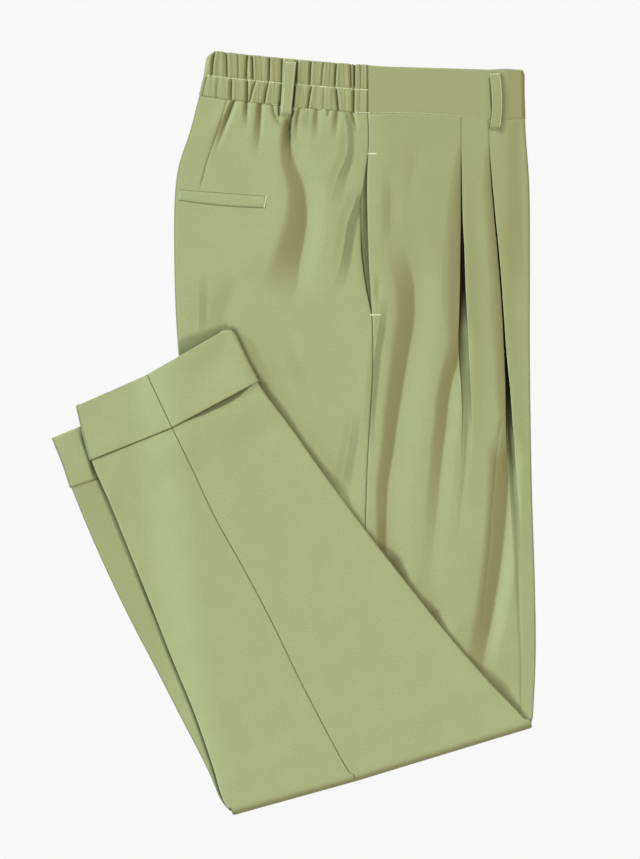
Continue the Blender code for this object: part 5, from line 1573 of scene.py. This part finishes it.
TACK = (0.75, 0.7, 1.4)  # pitch of a bar tack's stitches and their size along and across it
PANEL_TOP = UPPER_REST + 0.15
LOOP_TOP = UPPER_REST + 2.9
stitches("waist_stitches", (
    (band_line(0.05, 71.5, 176.0), 1.8, 1.0, 0.55),
    (band_line(0.05, 55.8, 71.5), 3.0, 2.5, 0.8),
    (band_line(0.05, 22.0, 29.5, 0.3), 2.4, 1.9, 0.6),
    (band_line(0.05, 5.5, 11.5, 0.3), 2.6, 2.0, 0.55),
    (band_line(0.05, -19.0, -13.5, 0.3), 2.6, 2.0, 0.6),
), thread)
stitches("channel_stitches", (
    (band_line(CHANNEL, -77.5, -8.0), 3.2, 2.9, 0.5),
    (band_line(CHANNEL, 4.5, 67.5), 3.2, 2.9, 0.5),
    (band_line(CHANNEL, 25.2, 30.6, 0.3), 2.6, 2.4, 0.95),
    (band_line(CHANNEL, 60.5, 67.5, 0.3), 2.6, 2.4, 0.85),
    (((67.6, 338.0, PANEL_TOP), (67.6, 318.0, PANEL_TOP)), 2.6, 1.3, 0.45),
), thread)
stitches("loop_stitches", (
    (loop_line(LOOP_BACK, 3.6), 1.8, 1.1, 0.75),
    (loop_line(LOOP_BACK, -3.6, 0.5), 1.8, 1.1, 0.75),
    (loop_line(LOOP_FRONT, 3.7), 1.8, 1.1, 0.75),
    (((-6.0, 333.6, LOOP_TOP - 0.9), (2.9, 333.4, LOOP_TOP - 0.9)), *TACK),
    (((177.3, 323.0, LOOP_TOP - 0.9), (186.3, 323.6, LOOP_TOP - 0.9)), *TACK),
), thread)
stitches("pocket_tacks", (
    (cloth_line((67.2, 252.0), (75.4, 252.0), 0.2), *TACK),
    (cloth_line((69.3, 106.9), (78.8, 106.9), 0.2), *TACK),
    (cloth_line((-24.0, 214.8), (-26.0, 202.6), 1.4), 1.5, 1.3, 0.9),
), thread)


# Floor, light and camera


FLOOR_LEVEL = -0.0004


def make_floor():
    """A plain pale table top that gives off most of its own brightness, so shadows on it stay faint."""
    mesh = bpy.data.meshes.new("floor")
    corners = ((-4, -4), (4, -4), (4, 4), (-4, 4))
    mesh.from_pydata([(x, y, FLOOR_LEVEL) for x, y in corners], [], [(0, 1, 2, 3)])
    mesh.materials.append(principled("pale floor", {
        "Base Color": (0.03, 0.03, 0.03, 1.0), "Roughness": 1.0, "Specular IOR Level": 0.0,
        "Emission Color": (1.0, 1.0, 1.0, 1.0), "Emission Strength": 0.905,
    })[0])
    put("floor", mesh)


def sun(name, towards, strength, colour, spread, shadow=True):
    """A lamp far away that shines along a direction, with a spread in degrees that softens shadows."""
    data = bpy.data.lights.new(name, "SUN")
    data.use_shadow = shadow
    data.energy = strength
    data.color = colour
    data.angle = np.radians(spread)
    x, y, z = towards
    put(name, data).rotation_euler = (0.0, np.arctan2(np.hypot(x, y), -z), np.arctan2(y, x) + np.pi)


make_floor()
WINDOW = ((0.785, -0.366, -0.5), (0.73, 0.87, 1.0))
sun("window on the left", WINDOW[0], 1.4, WINDOW[1], 12.0)
sun("window's fill", WINDOW[0], 2.9, WINDOW[1], 12.0, shadow=False)
sun("panel on the right", (-0.7, -0.2, -0.7), 0.6, (1.0, 0.89, 0.72), 40.0)
sun("panel overhead", (0.05, -0.1, -1.0), 1.0, (1.0, 0.89, 0.72), 60.0)
world = bpy.data.worlds.new("studio")
bpy.context.scene.world = world
world.use_nodes = True
world.node_tree.nodes["Background"].inputs["Color"].default_value = (1.0, 0.9, 0.75, 1.0)
world.node_tree.nodes["Background"].inputs["Strength"].default_value = 0.3

VIEW_MIDDLE = (0.02385, 0.003225)
VIEW_HEIGHT = 0.7731
CAMERA_RISE = 3.0
GARMENT_MIDDLE = 0.008
camera_data = bpy.data.cameras.new("camera")
camera_data.lens = 36.0 * CAMERA_RISE / VIEW_HEIGHT
camera = put("camera", camera_data)
camera.location = (*VIEW_MIDDLE, CAMERA_RISE + GARMENT_MIDDLE)
bpy.context.scene.camera = camera
bpy.context.scene.view_settings.view_transform = "Standard"
